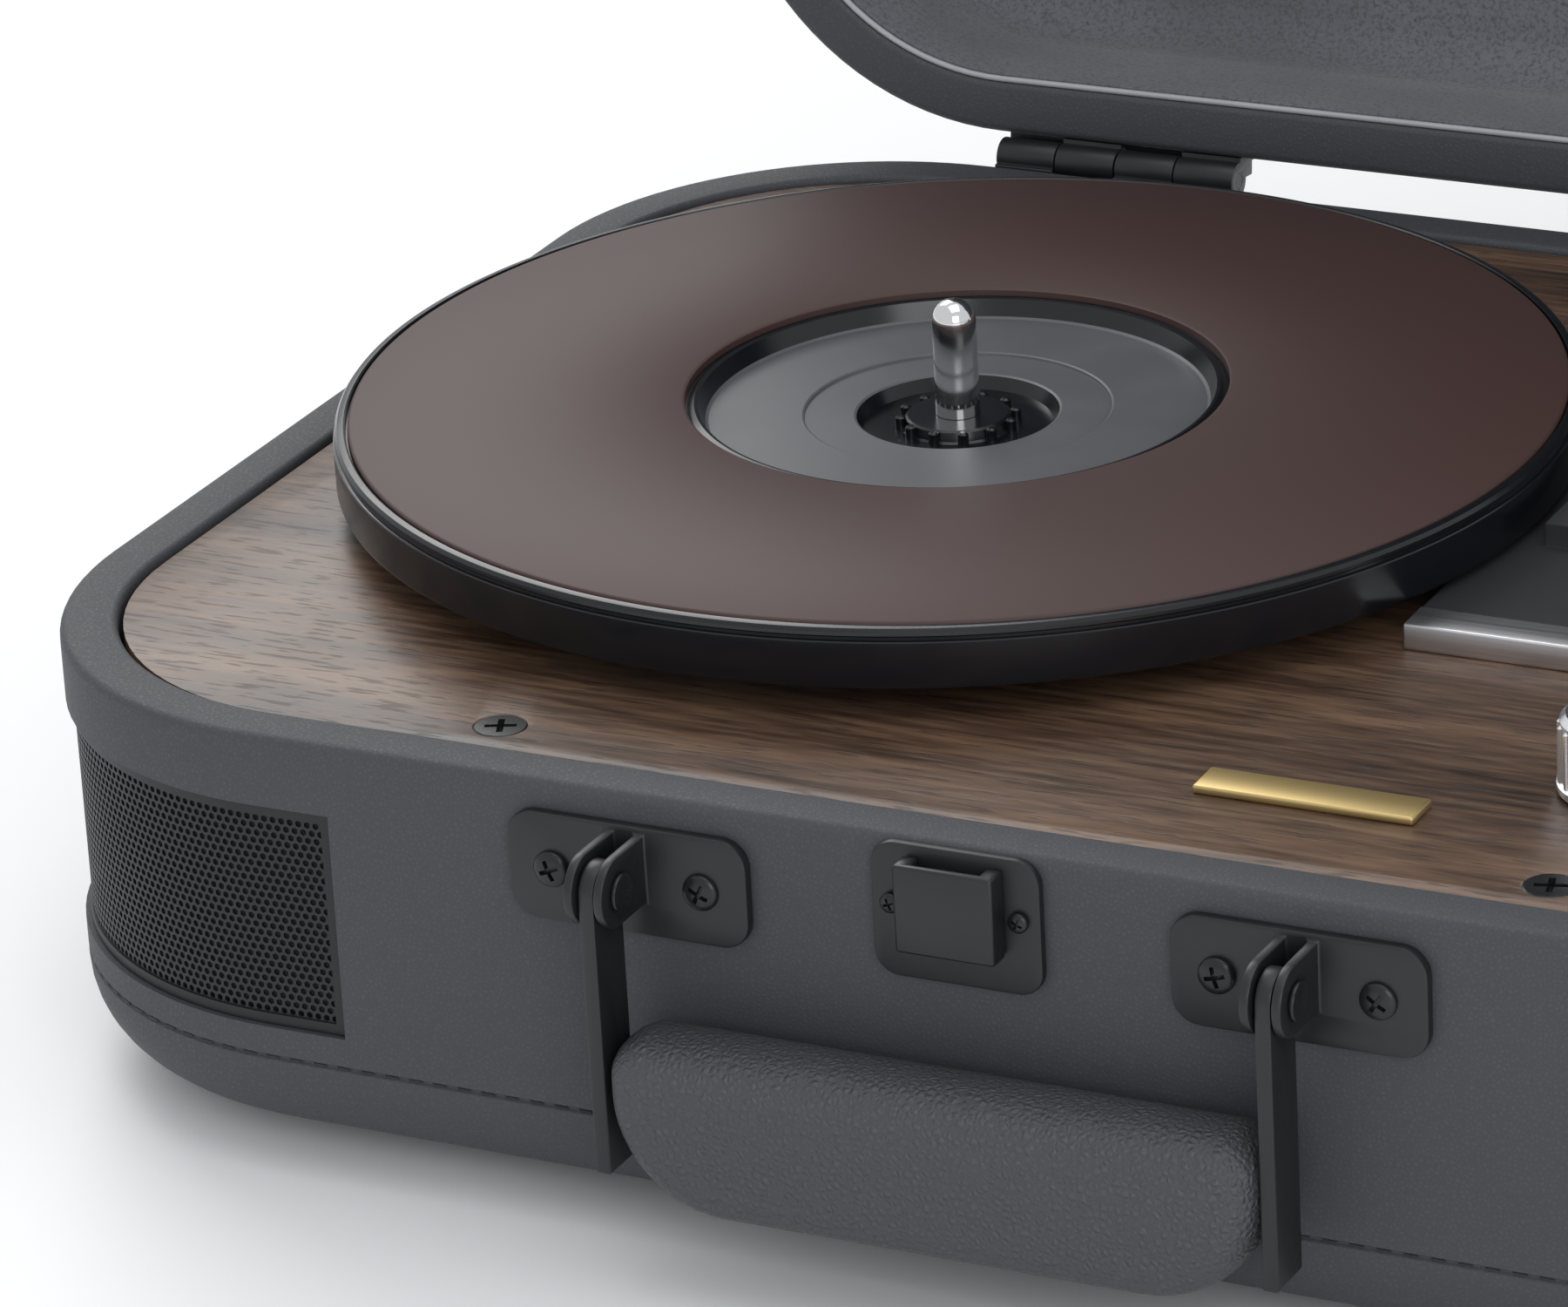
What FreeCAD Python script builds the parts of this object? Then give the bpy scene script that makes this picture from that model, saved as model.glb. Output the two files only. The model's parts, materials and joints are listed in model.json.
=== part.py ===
"""Suitcase record player: a parametric FreeCAD document of separate, named pieces.

Every piece is drawn in the case frame: X to the right, Y to the back, Z up, with
the origin under the middle of the case, in the plane its feet stand on. The
finished pieces are then moved along Y together, so that the origin ends up under
the middle of the whole player with its lid open. Lengths are in millimetres.
"""
import FreeCAD, Part
import math
import os
import re

import Sketcher

Vector = FreeCAD.Vector
Rotation = FreeCAD.Rotation
doc = FreeCAD.newDocument("record_player")

# ----------------------------------------------------------------------------
# Driving dimensions
# ----------------------------------------------------------------------------
DRIVING = {
    "case": dict(
        case_wide=355, case_deep=270, case_corner=58, case_wall=9.2, case_floor=6,
        foot_high=5, rim_top=75, base_round=14, centre_shift=-27.8, play=0.3,
        run_play=0.05, foot_radius=9, foot_x=118, foot_y=82,
    ),
    "deck": dict(
        deck_top=74, deck_thick=5, deck_gap=0.8, deck_screw_x=85, deck_screw_y=117,
        deck_screw_head=4.3, deck_screw_shank=1.5, deck_screw_sink=2.4,
        post_radius=6,
    ),
    "platter": dict(
        platter_x=-62.5, platter_radius=101.3, platter_low=79, platter_lip=89,
        mat_radius=98.9, mat_thick=1.2, mat_seat=88, ring_radius=43.6,
        recess_radius=40.5, recess_floor=85.2, well_radius=16.5, skin=3,
        spindle_radius=3.6, spindle_shaft=2.5, spindle_top=104, spindle_low=55.2, drive_radius=62,
    ),
    "drive": dict(
        motor_dx=-59.4, motor_dy=59.4, pulley_radius=6, motor_radius=16,
        motor_low=44, shaft_radius=1.2, bearing_radius=8, bearing_floor=3,
        belt_thick=0.6, belt_low=80.2, belt_high=3.6,
    ),
    "arm": dict(
        plinth_left=33, plinth_right=160, plinth_front=-44.7, trim_wide=7.5,
        plinth_high=4, platform_left=42, platform_front=-8, platform_high=4,
        arm_x=138, arm_y=62, arm_z=100, arm_length=160, tube_radius=3.5,
        turret_radius=14, yoke_low=92, counter_radius=7.5, counter_back=17,
        counter_long=10, yoke_shaft=4, yoke_foot=61, cross_radius=1.5,
        sleeve_radius=8, rest_y=-22,
        cue_radius=30, cue_bar_low=94.2, cue_post_radius=2, cue_post_low=62,
        lever_x=151, lever_y=33, lever_z=72,
        lever_lean=30,
    ),
    "controls": dict(
        knob_y=-82, volume_x=84, mode_x=112, volume_radius=11, mode_radius=8,
        knob_high=12, stem_radius=3, switch_y=-22, speed_x=78, stop_x=114,
        board_x=85, board_y=-62, board_wide=64, board_deep=50, board_low=48,
    ),
    "speaker": dict(
        grille_x=106, grille_y=63.5, grille_low=25.7, grille_top=63.2,
        grille_inset=1.2, grille_thick=1.2, frame_inset=2.6, frame_thick=4,
        cone_radius=16.5, speaker_deep=17,
    ),
    "handle": dict(
        handle_x=54, bracket_wide=40, bracket_low=53, bracket_high=17.5,
        bracket_thick=2, bracket_screw_x=12.5, pivot_out=10.5, pivot_z=64,
        strap_thick=2.6, strap_wide=9, strap_low=19, ear_thick=1.6, ear_gap=3.4,
        ear_radius=5.5, pin_radius=2, grip_low=14, grip_high=28, grip_thick=16,
        grip_out=9.7, grip_corner=19, grip_top_corner=5,
    ),
    "lock": dict(
        lock_wide=27.2, lock_low=53, lock_high=21.6, lock_thick=1.6, box_wide=16,
        box_low=59, box_high=14, box_out=4.4, lock_screw_x=10.3, lock_screw_z=65,
    ),
    "lid": dict(
        open_angle=96, lid_gap=0.5, lid_high=42, lid_roof=5, lid_round=14,
        lining_wall=1.5, lining_floor=2, panel_border=24, panel_sink=0.8,
        hinge_out=4, hinge_x=95.8, hinge_wide=46, knuckle_radius=3.3,
        hinge_pin=1.4, leaf_thick=1.5, leaf_high=17, hinge_screw_x=15,
    ),
    "rear": dict(
        panel_x=60, panel_wide=76, panel_low=22, panel_high=22, panel_thick=3,
    ),
}

dims = doc.addObject("Spreadsheet::Sheet", "dims")
SIZE = {}
for group, entries in DRIVING.items():
    for alias, number in entries.items():
        row = len(SIZE) + 1
        SIZE[alias] = float(number)
        dims.set(f"A{row}", f"{group}: {alias.replace('_', ' ')}")
        dims.set(f"B{row}", str(number))
        dims.setAlias(f"B{row}", alias)
doc.recompute()

WORD = re.compile(r"[a-z_]+")


def bound(text):
    """Put the sheet's name before each alias in an expression."""
    found = lambda m: f"dims.{m[0]}" if m[0] in SIZE else m[0]
    return WORD.sub(found, str(text))


def number(text):
    """The value of an expression of aliases, for a sketch's first guess."""
    return float(dims.evalExpression(bound(text)))


# ----------------------------------------------------------------------------
# Building blocks
# ----------------------------------------------------------------------------
TURNS = {
    "z": Rotation(),
    "-z": Rotation(Vector(1, 0, 0), 180),
    "x": Rotation(Vector(0, 1, 0), 90),
    "y": Rotation(Vector(1, 0, 0), -90),
    "-y": Rotation(Vector(1, 0, 0), 90),
}


def place(obj, at, turn=Rotation()):
    """Set an object down at three expressions, turned as given."""
    obj.Placement = FreeCAD.Placement(Vector(), turn)
    for axis, text in zip("xyz", at):
        obj.setExpression(f"Placement.Base.{axis}", bound(text))
    return obj


def sized(kind, name, **sizes):
    """Add a Part primitive whose sizes are bound to expressions."""
    obj = doc.addObject(kind, name)
    for prop, text in sizes.items():
        obj.setExpression(prop, bound(text))
    return obj


def box(name, low, size):
    """A box from its low corner and its three lengths."""
    obj = sized("Part::Box", name, Length=size[0], Width=size[1], Height=size[2])
    return place(obj, low)


def rod(name, at, radius, length, along="z"):
    """A cylinder from the middle of one end, along a named direction."""
    obj = sized("Part::Cylinder", name, Radius=radius, Height=length)
    return place(obj, at, TURNS[along])


def taper(name, at, first, second, length, along="z"):
    """A cone from the middle of its first end."""
    obj = sized("Part::Cone", name, Radius1=first, Radius2=second, Height=length)
    return place(obj, at, TURNS[along])


def joined(name, pieces):
    """One solid from overlapping or touching pieces."""
    obj = doc.addObject("Part::MultiFuse", name)
    obj.Shapes = pieces
    return obj


def shared(name, first, second):
    """The part that two solids have in common."""
    obj = doc.addObject("Part::Common", name)
    obj.Base = first
    obj.Tool = second
    return obj


def cut(name, base, tools):
    """The base with every tool taken away."""
    obj = doc.addObject("Part::Cut", name)
    obj.Base = base
    obj.Tool = tools[0] if len(tools) == 1 else joined(f"{name}_tools", tools)
    return obj


def group(name, pieces):
    """Separate solids kept together as one node."""
    obj = doc.addObject("Part::Compound", name)
    obj.Links = pieces
    return obj


def new_sketch(body, name, plane, offset="0"):
    """A sketch on one of its body's own origin planes, moved along its normal."""
    sketch = body.newObject("Sketcher::SketchObject", name)
    origin = body.Origin.OriginFeatures
    face = next(item for item in origin if item.Role == plane)
    sketch.AttachmentSupport = [(face, "")]
    sketch.MapMode = "FlatFace"
    sketch.setExpression("AttachmentOffset.Base.z", bound(offset))
    return sketch


def pin_down(sketch, kind, first, second, text):
    """Constrain the distance between two points by an expression."""
    guess = number(text)
    index = sketch.addConstraint(Sketcher.Constraint(kind, *first, *second, guess))
    sketch.setExpression(f"Constraints[{index}]", bound(text))


def outline(sketch, points):
    """A closed polygon whose corners are pairs of expressions."""
    spots = [Vector(number(a), number(b), 0) for a, b in points]
    count = len(spots)
    for i in range(count):
        sketch.addGeometry(Part.LineSegment(spots[i], spots[(i + 1) % count]), False)
    for i in range(count):
        end = (i + 1) % count
        sketch.addConstraint(Sketcher.Constraint("Coincident", i, 2, end, 1))
    for i, (across, up) in enumerate(points):
        pin_down(sketch, "DistanceX", (-1, 1), (i, 1), across)
        pin_down(sketch, "DistanceY", (-1, 1), (i, 1), up)


def round_outline(sketch, wide, deep, corner):
    """A centred rectangle with four equal round corners."""
    radius = number(corner)
    reach_x = number(wide) / 2 - radius
    reach_y = number(deep) / 2 - radius
    signs = ((1, 1), (-1, 1), (-1, -1), (1, -1))
    arcs = []
    for i, (sign_x, sign_y) in enumerate(signs):
        circle = Part.Circle(
            Vector(sign_x * reach_x, sign_y * reach_y, 0), Vector(0, 0, 1), radius
        )
        start = i * math.pi / 2
        arc = Part.ArcOfCircle(circle, start, start + math.pi / 2)
        arcs.append(sketch.addGeometry(arc, False))
    lines = []
    for i in range(4):
        start = sketch.getPoint(arcs[i], 2)
        end = sketch.getPoint(arcs[(i + 1) % 4], 1)
        lines.append(sketch.addGeometry(Part.LineSegment(start, end), False))
    for i in range(4):
        after = arcs[(i + 1) % 4]
        sketch.addConstraint(Sketcher.Constraint("Tangent", arcs[i], 2, lines[i], 1))
        sketch.addConstraint(Sketcher.Constraint("Tangent", lines[i], 2, after, 1))
        direction = "Horizontal" if i % 2 == 0 else "Vertical"
        sketch.addConstraint(Sketcher.Constraint(direction, lines[i]))
    for other in arcs[1:]:
        sketch.addConstraint(Sketcher.Constraint("Equal", arcs[0], other))
    centre = Sketcher.Constraint("Symmetric", arcs[0], 3, arcs[2], 3, -1, 1)
    sketch.addConstraint(centre)
    index = sketch.addConstraint(Sketcher.Constraint("Radius", arcs[0], radius))
    sketch.setExpression(f"Constraints[{index}]", bound(corner))
    across = f"{wide} - 2 * ({corner})"
    along = f"{deep} - 2 * ({corner})"
    pin_down(sketch, "DistanceX", (arcs[1], 3), (arcs[0], 3), across)
    pin_down(sketch, "DistanceY", (arcs[3], 3), (arcs[0], 3), along)


def pad(body, name, sketch, length):
    """Raise a sketch along its normal."""
    feature = body.newObject("PartDesign::Pad", name)
    feature.Profile = sketch
    feature.setExpression("Length", bound(length))
    sketch.Visibility = False
    doc.recompute()
    return feature


def pocket(body, name, sketch, depth):
    """Sink a sketch against its normal, and make sure that it cuts."""
    before = body.Shape.Volume
    feature = body.newObject("PartDesign::Pocket", name)
    feature.Profile = sketch
    feature.setExpression("Length", bound(depth))
    doc.recompute()
    if body.Shape.Volume > before - 1:
        raise RuntimeError(f"{name} cuts nothing")
    return feature


def fillet(body, name, base, edges, radius):
    """Round the named edges of a feature."""
    feature = body.newObject("PartDesign::Fillet", name)
    feature.Base = (base, edges)
    feature.setExpression("Radius", bound(radius))
    doc.recompute()
    return feature


def edges_at(feature, level):
    """Names of the edges that lie whole in a level plane."""
    found = []
    for i, edge in enumerate(feature.Shape.Edges):
        box_z = edge.BoundBox
        if abs(box_z.ZMin - level) < 0.01 and abs(box_z.ZMax - level) < 0.01:
            found.append(f"Edge{i + 1}")
    return found


def inset(text):
    """Width, depth and corner radius of the case's outline moved inwards."""
    return (
        f"case_wide - 2 * ({text})",
        f"case_deep - 2 * ({text})",
        f"case_corner - ({text})",
    )


def round_slab(name, margin, low, high):
    """A slab with the case's outline moved inwards by a margin."""
    body = doc.addObject("PartDesign::Body", name)
    sketch = new_sketch(body, f"{name}_outline", "XY_Plane", low)
    round_outline(sketch, *inset(margin))
    pad(body, f"{name}_pad", sketch, f"({high}) - ({low})")
    return body


def hollow(body, name, margin, top, depth):
    """Sink the case's outline, moved inwards, into a round slab."""
    sketch = new_sketch(body, f"{name}_outline", "XY_Plane", top)
    round_outline(sketch, *inset(margin))
    return pocket(body, name, sketch, depth)


def turned(name, points, at=("0", "0", "0"), along="z"):
    """A solid of revolution from a profile of (radius, height) expressions."""
    body = doc.addObject("PartDesign::Body", name)
    sketch = new_sketch(body, f"{name}_profile", "XZ_Plane")
    outline(sketch, points)
    feature = body.newObject("PartDesign::Revolution", f"{name}_turn")
    feature.Profile = sketch
    feature.ReferenceAxis = (sketch, ["V_Axis"])
    feature.Angle = 360
    doc.recompute()
    return place(body, at, TURNS[along])


def tube(outer, inner, low, high):
    """The profile of a plain tube, for turned()."""
    return [(inner, low), (outer, low), (outer, high), (inner, high)]


def pan_screw(name, at, along, head="2.2", shank="1.2", length="9"):
    """A pan-head screw; the point is where its head meets the plate."""
    head_rod = rod(f"{name}_head", at, head, "1.4", along)
    sink = {"y": "-y", "-y": "y", "z": "-z"}[along]
    return joined(name, [head_rod, rod(f"{name}_shank", at, shank, length, sink)])


NODES = {}


def node(label, obj):
    """Name a finished piece and move it into the player's own frame."""
    obj.Label = label
    here = obj.ExpressionEngine
    before = next((e for p, e in here if p.lstrip(".") == "Placement.Base.y"), "0")
    obj.setExpression("Placement.Base.y", f"{before} + dims.centre_shift")
    NODES[label] = obj
    return obj


def lid_node(label, obj):
    """Name a piece drawn with the lid shut and swing it open about the hinge."""
    obj.Label = label
    axis_y = "(dims.case_deep / 2 + dims.hinge_out)"
    axis_z = "(dims.rim_top + dims.lid_gap)"
    swing = "rotation(vector(1; 0; 0); -dims.open_angle)"
    obj.setExpression(
        "Placement",
        f"placement(vector(0; dims.centre_shift; 0); {swing};"
        f" vector(0; {axis_y}; {axis_z}))",
    )
    NODES[label] = obj
    return obj


SIDES = {"left": -1, "right": 1}
FRONT = "-case_deep / 2"
REAR = "case_deep / 2"
DECK_LOW = "deck_top - deck_thick"
HUB_TOP = "recess_floor - 0.8"


# ----------------------------------------------------------------------------
# Case
# ----------------------------------------------------------------------------
def base_shell():
    """Open tray with a rounded belly, screw posts and holes for its fittings."""
    body = round_slab("case_tray", "0", "foot_high", "rim_top")
    raised = body.Tip
    fillet(
        body, "belly_round", raised, edges_at(raised, SIZE["foot_high"]), "base_round"
    )
    depth = "rim_top - foot_high - case_floor"
    hollow(body, "tray_hollow", "case_wall", "rim_top", depth)
    posts = []
    pilots = []
    for sign_x in (-1, 1):
        for sign_y in (-1, 1):
            spot = f"{sign_x} * deck_screw_x", f"{sign_y} * deck_screw_y"
            low = "foot_high + case_floor - 1"
            tall = f"{DECK_LOW} - foot_high - case_floor + 1"
            name = f"post_{len(posts)}"
            posts.append(rod(name, (*spot, low), "post_radius", tall))
            pilots.append(
                rod(f"{name}_pilot", (*spot, "50"), "deck_screw_shank + run_play", "20")
            )
    for sign_x in (-1, 1):
        for sign_y in (-1, 1):
            spot = (
                f"board_x + {sign_x} * (board_wide / 2 - 5)",
                f"board_y + {sign_y} * (board_deep / 2 - 5)",
            )
            low = "foot_high + case_floor - 1"
            name = f"post_{len(posts)}"
            posts.append(rod(name, (*spot, low), "3", f"board_low - ({low})"))
    openings = [
        box(
            "jack_opening",
            ("panel_x - panel_wide / 2", f"{REAR} - case_wall - 1", "panel_low"),
            ("panel_wide", "case_wall + 2", "panel_high"),
        )
    ]
    for side, sign in SIDES.items():
        reach = "case_wide / 2 - grille_x + 1"
        start = "-case_wide / 2 - 1" if sign < 0 else "grille_x"
        openings.append(
            box(
                f"{side}_speaker_opening",
                (start, f"{FRONT} - 1", "grille_low"),
                (reach, "case_deep / 2 - grille_y + 1", "grille_top - grille_low"),
            )
        )
    solid = joined("tray_with_posts", [body, *posts])
    node("base_shell", cut("base_shell", solid, [*openings, *pilots]))


def base_feet():
    """Four tapered rubber feet."""
    feet = []
    for sign_x in (-1, 1):
        for sign_y in (-1, 1):
            at = (f"{sign_x} * foot_x", f"{sign_y} * foot_y", "0")
            name = f"foot_{len(feet)}"
            feet.append(taper(name, at, "foot_radius - 1", "foot_radius", "foot_high"))
    node("base_feet", group("base_feet", feet))


def deck_panel():
    """Top board with its holes for the bearing, motor, arm, controls and screws."""
    body = round_slab("deck_board", "case_wall + deck_gap", DECK_LOW, "deck_top")
    under = f"{DECK_LOW} - 1"
    through = "deck_thick + 2"
    motor = "platter_x + motor_dx", "motor_dy"
    holes = [
        rod("bearing_hole", ("platter_x", "0", under), "bearing_radius + play", through),
        rod("pulley_hole", (*motor, under), "pulley_radius + 2", through),
        rod("turret_hole", ("arm_x", "arm_y", under), "sleeve_radius + play", through),
        rod("volume_hole", ("volume_x", "knob_y", under), "stem_radius + play", through),
        rod("mode_hole", ("mode_x", "knob_y", under), "stem_radius + play", through),
        rod("cue_hole", (*CUE_POST, under), "cue_post_radius + 0.4", through),
    ]
    holes += switch_slots("deck", under, through)
    for sign_x in (-1, 1):
        for sign_y in (-1, 1):
            spot = f"{sign_x} * deck_screw_x", f"{sign_y} * deck_screw_y"
            name = f"countersink_{sign_x + 1}_{sign_y + 1}"
            top = (*spot, "deck_top")
            sink = taper(
                name, top, "deck_screw_head + run_play", "deck_screw_shank", "deck_screw_sink", "-z"
            )
            shaft = rod(
                f"{name}_shaft", (*spot, under), "deck_screw_shank + run_play", through
            )
            holes += [sink, shaft]
    for i, side in enumerate((-1, 1)):
        spot = f"platter_x + motor_dx + {side} * 18", "motor_dy", under
        holes.append(rod(f"motor_screw_hole_{i}", spot, "1.3 + run_play", through))
    node("deck_panel", cut("deck_panel", body, holes))


def deck_screws():
    """Four countersunk screws that hold the deck on its posts."""
    screws = []
    for sign_x in (-1, 1):
        for sign_y in (-1, 1):
            top = (f"{sign_x} * deck_screw_x", f"{sign_y} * deck_screw_y", "deck_top")
            name = f"deck_screw_{len(screws)}"
            head = taper(
                f"{name}_head", top, "deck_screw_head", "deck_screw_shank", "deck_screw_sink", "-z"
            )
            shank = rod(f"{name}_shank", top, "deck_screw_shank", "16", "-z")
            screws.append(joined(name, [head, shank]))
    node("deck_screws", group("deck_screws", screws))


def emblem_plate():
    """Plain bar on the front of the deck."""
    bar = box("emblem_bar", ("24", "-105", "deck_top"), ("35", "7.5", "1.4"))
    node("emblem_plate", bar)


# ----------------------------------------------------------------------------
# Platter and belt drive
# ----------------------------------------------------------------------------
def platter():
    """Dished platter with a sunk centre, a hub and a ring for the belt."""
    profile = [
        ("spindle_shaft", "platter_low - 2.7"),
        ("12", "platter_low - 2.7"),
        ("12", "platter_low + 0.2"),
        ("well_radius + skin", "platter_low + 0.2"),
        ("well_radius + skin", "recess_floor - skin - 0.2"),
        ("ring_radius + skin", "recess_floor - skin - 0.2"),
        ("ring_radius + skin", "mat_seat - skin"),
        ("drive_radius - 4", "mat_seat - skin"),
        ("drive_radius - 4", "platter_low + 0.4"),
        ("drive_radius", "platter_low + 0.4"),
        ("drive_radius", "mat_seat - skin"),
        ("platter_radius - skin", "mat_seat - skin"),
        ("platter_radius - skin", "platter_low"),
        ("platter_radius", "platter_low"),
        ("platter_radius", "platter_lip - 0.7"),
        ("platter_radius - 0.7", "platter_lip"),
        ("mat_radius + 0.3", "platter_lip"),
        ("mat_radius + 0.3", "mat_seat"),
        ("ring_radius", "mat_seat"),
        ("recess_radius", "recess_floor"),
        ("recess_radius - 15.5", "recess_floor"),
        ("recess_radius - 15.5", "recess_floor - 0.5"),
        ("well_radius", "recess_floor - 0.5"),
        ("well_radius - 1", "platter_low + 3.4"),
        ("8", "platter_low + 3.4"),
        ("8", HUB_TOP),
        ("spindle_shaft", HUB_TOP),
    ]
    node("platter", turned("platter_dish", profile, ("platter_x", "0", "0")))


def slip_mat():
    """Flat ring that the record lies on."""
    profile = tube("mat_radius", "ring_radius", "mat_seat", "mat_seat + mat_thick")
    node("slip_mat", turned("mat_ring", profile, ("platter_x", "0", "0")))


def spindle():
    """Centre pin with a domed top, pressed into the platter's hub."""
    foot = ("platter_x", "0", "spindle_low")
    head = ("platter_x", "0", HUB_TOP)
    shaft = rod("spindle_shaft", foot, "spindle_shaft", f"{HUB_TOP} - spindle_low")
    straight = f"spindle_top - spindle_radius - ({HUB_TOP})"
    pin = rod("spindle_pin", head, "spindle_radius", straight)
    dome = sized("Part::Sphere", "spindle_dome", Radius="spindle_radius")
    place(dome, ("platter_x", "0", "spindle_top - spindle_radius"))
    node("spindle", joined("spindle", [shaft, pin, dome]))


def spindle_bearing():
    """Closed sleeve with a flange under the deck, in which the spindle runs."""
    bore = "spindle_shaft + run_play"
    profile = [
        ("0", "spindle_low - bearing_floor"),
        ("bearing_radius", "spindle_low - bearing_floor"),
        ("bearing_radius", f"{DECK_LOW} - 3"),
        ("15", f"{DECK_LOW} - 3"),
        ("15", DECK_LOW),
        ("bearing_radius", DECK_LOW),
        ("bearing_radius", "platter_low - 3"),
        (bore, "platter_low - 3"),
        (bore, "spindle_low - 0.2"),
        ("0", "spindle_low - 0.2"),
    ]
    node("spindle_bearing", turned("bearing_sleeve", profile, ("platter_x", "0", "0")))


def motor():
    """Motor can with its mounting flange under the deck, two screws and pulley."""
    at = ("platter_x + motor_dx", "motor_dy", "0")
    bore = "shaft_radius + run_play"
    can = [
        (bore, "motor_low"),
        ("motor_radius", "motor_low"),
        ("motor_radius", f"{DECK_LOW} - 2.5"),
        ("motor_radius + 6", f"{DECK_LOW} - 2.5"),
        ("motor_radius + 6", DECK_LOW),
        (bore, DECK_LOW),
    ]
    shell = turned("motor_can", can, at)
    holes = []
    screws = []
    for i, side in enumerate((-1, 1)):
        spot = f"platter_x + motor_dx + {side} * 18", "motor_dy"
        holes.append(rod(f"motor_hole_{i}", (*spot, "60"), "1.3 + run_play", "12"))
        screws.append(
            pan_screw(f"motor_screw_{i}", (*spot, "deck_top"), "z", "2.6", "1.3", "10")
        )
    node("motor_body", cut("motor_body", shell, holes))
    node("motor_screws", group("motor_screws", screws))
    pulley = [
        ("0", "motor_low + 1"),
        ("shaft_radius", "motor_low + 1"),
        ("shaft_radius", "belt_low - 1"),
        ("pulley_radius + 1", "belt_low - 1"),
        ("pulley_radius + 1", "belt_low - 0.4"),
        ("pulley_radius", "belt_low - 0.4"),
        ("pulley_radius", "belt_low + belt_high + 0.4"),
        ("0", "belt_low + belt_high + 0.4"),
    ]
    node("motor_pulley", turned("pulley_turned", pulley, at))


def belt_loop(body, name, level, large, small):
    """Sketch an open belt's line round two circles a motor's distance apart."""
    sketch = new_sketch(body, name, "XY_Plane", level)
    apart = number("sqrt(motor_dx * motor_dx + motor_dy * motor_dy)")
    big, little = number(large), number(small)
    lean = math.acos((big - little) / apart)
    ring = Part.Circle(Vector(), Vector(0, 0, 1), big)
    wheel = Part.Circle(Vector(apart, 0, 0), Vector(0, 0, 1), little)
    far = sketch.addGeometry(Part.ArcOfCircle(ring, lean, 2 * math.pi - lean), False)
    near = sketch.addGeometry(Part.ArcOfCircle(wheel, -lean, lean), False)
    ends = [(near, 2, far, 1), (far, 2, near, 1)]
    for first, first_end, second, second_end in ends:
        start = sketch.getPoint(first, first_end)
        end = sketch.getPoint(second, second_end)
        run = sketch.addGeometry(Part.LineSegment(start, end), False)
        sketch.addConstraint(Sketcher.Constraint("Tangent", first, first_end, run, 1))
        sketch.addConstraint(Sketcher.Constraint("Tangent", run, 2, second, second_end))
    sketch.addConstraint(Sketcher.Constraint("Coincident", far, 3, -1, 1))
    sketch.addConstraint(Sketcher.Constraint("PointOnObject", near, 3, -1))
    distance = "sqrt(motor_dx * motor_dx + motor_dy * motor_dy)"
    pin_down(sketch, "DistanceX", (-1, 1), (near, 3), distance)
    for arc, text in ((far, large), (near, small)):
        index = sketch.addConstraint(Sketcher.Constraint("Radius", arc, number(text)))
        sketch.setExpression(f"Constraints[{index}]", bound(text))
    return sketch


def drive_belt():
    """Flat belt round the platter's ring and the motor's pulley."""
    body = doc.addObject("PartDesign::Body", "belt_band")
    inner = "play"
    outer = "play + belt_thick"
    around = [f"drive_radius + {outer}", f"pulley_radius + {outer}"]
    outside = belt_loop(body, "belt_outside", "belt_low", *around)
    pad(body, "belt_pad", outside, "belt_high")
    around = [f"drive_radius + {inner}", f"pulley_radius + {inner}"]
    inside = belt_loop(body, "belt_inside", "belt_low + belt_high", *around)
    pocket(body, "belt_hollow", inside, "belt_high")
    heading = math.degrees(math.atan2(SIZE["motor_dy"], SIZE["motor_dx"]))
    place(body, ("platter_x", "0", "0"), Rotation(Vector(0, 0, 1), heading))
    node("drive_belt", body)


# ----------------------------------------------------------------------------
# Tonearm
# ----------------------------------------------------------------------------
CUE_POST = ("arm_x - cue_radius / sqrt(2)", "arm_y - cue_radius / sqrt(2)")
PLINTH_TOP = "deck_top + plinth_high"
PLATFORM_TOP = "deck_top + plinth_high + platform_high"
SPEED_TRAVEL = 12
STOP_TRAVEL = 5


def switch_slots(name, low, tall):
    """Slots for the two slide switches and the cueing lever."""
    return [
        box(
            f"{name}_speed_slot",
            ("speed_x - 1.5 - play", "switch_y - 1 - play", low),
            (f"{SPEED_TRAVEL} + 3 + 2 * play", "2 + 2 * play", tall),
        ),
        box(
            f"{name}_stop_slot",
            ("stop_x - 1.5 - play", "switch_y - 1 - play", low),
            (f"{STOP_TRAVEL} + 3 + 2 * play", "2 + 2 * play", tall),
        ),
        box(
            f"{name}_lever_slot",
            ("lever_x - 1.3", "lever_y - 10", low),
            ("2.6", "20", tall),
        ),
    ]


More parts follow.
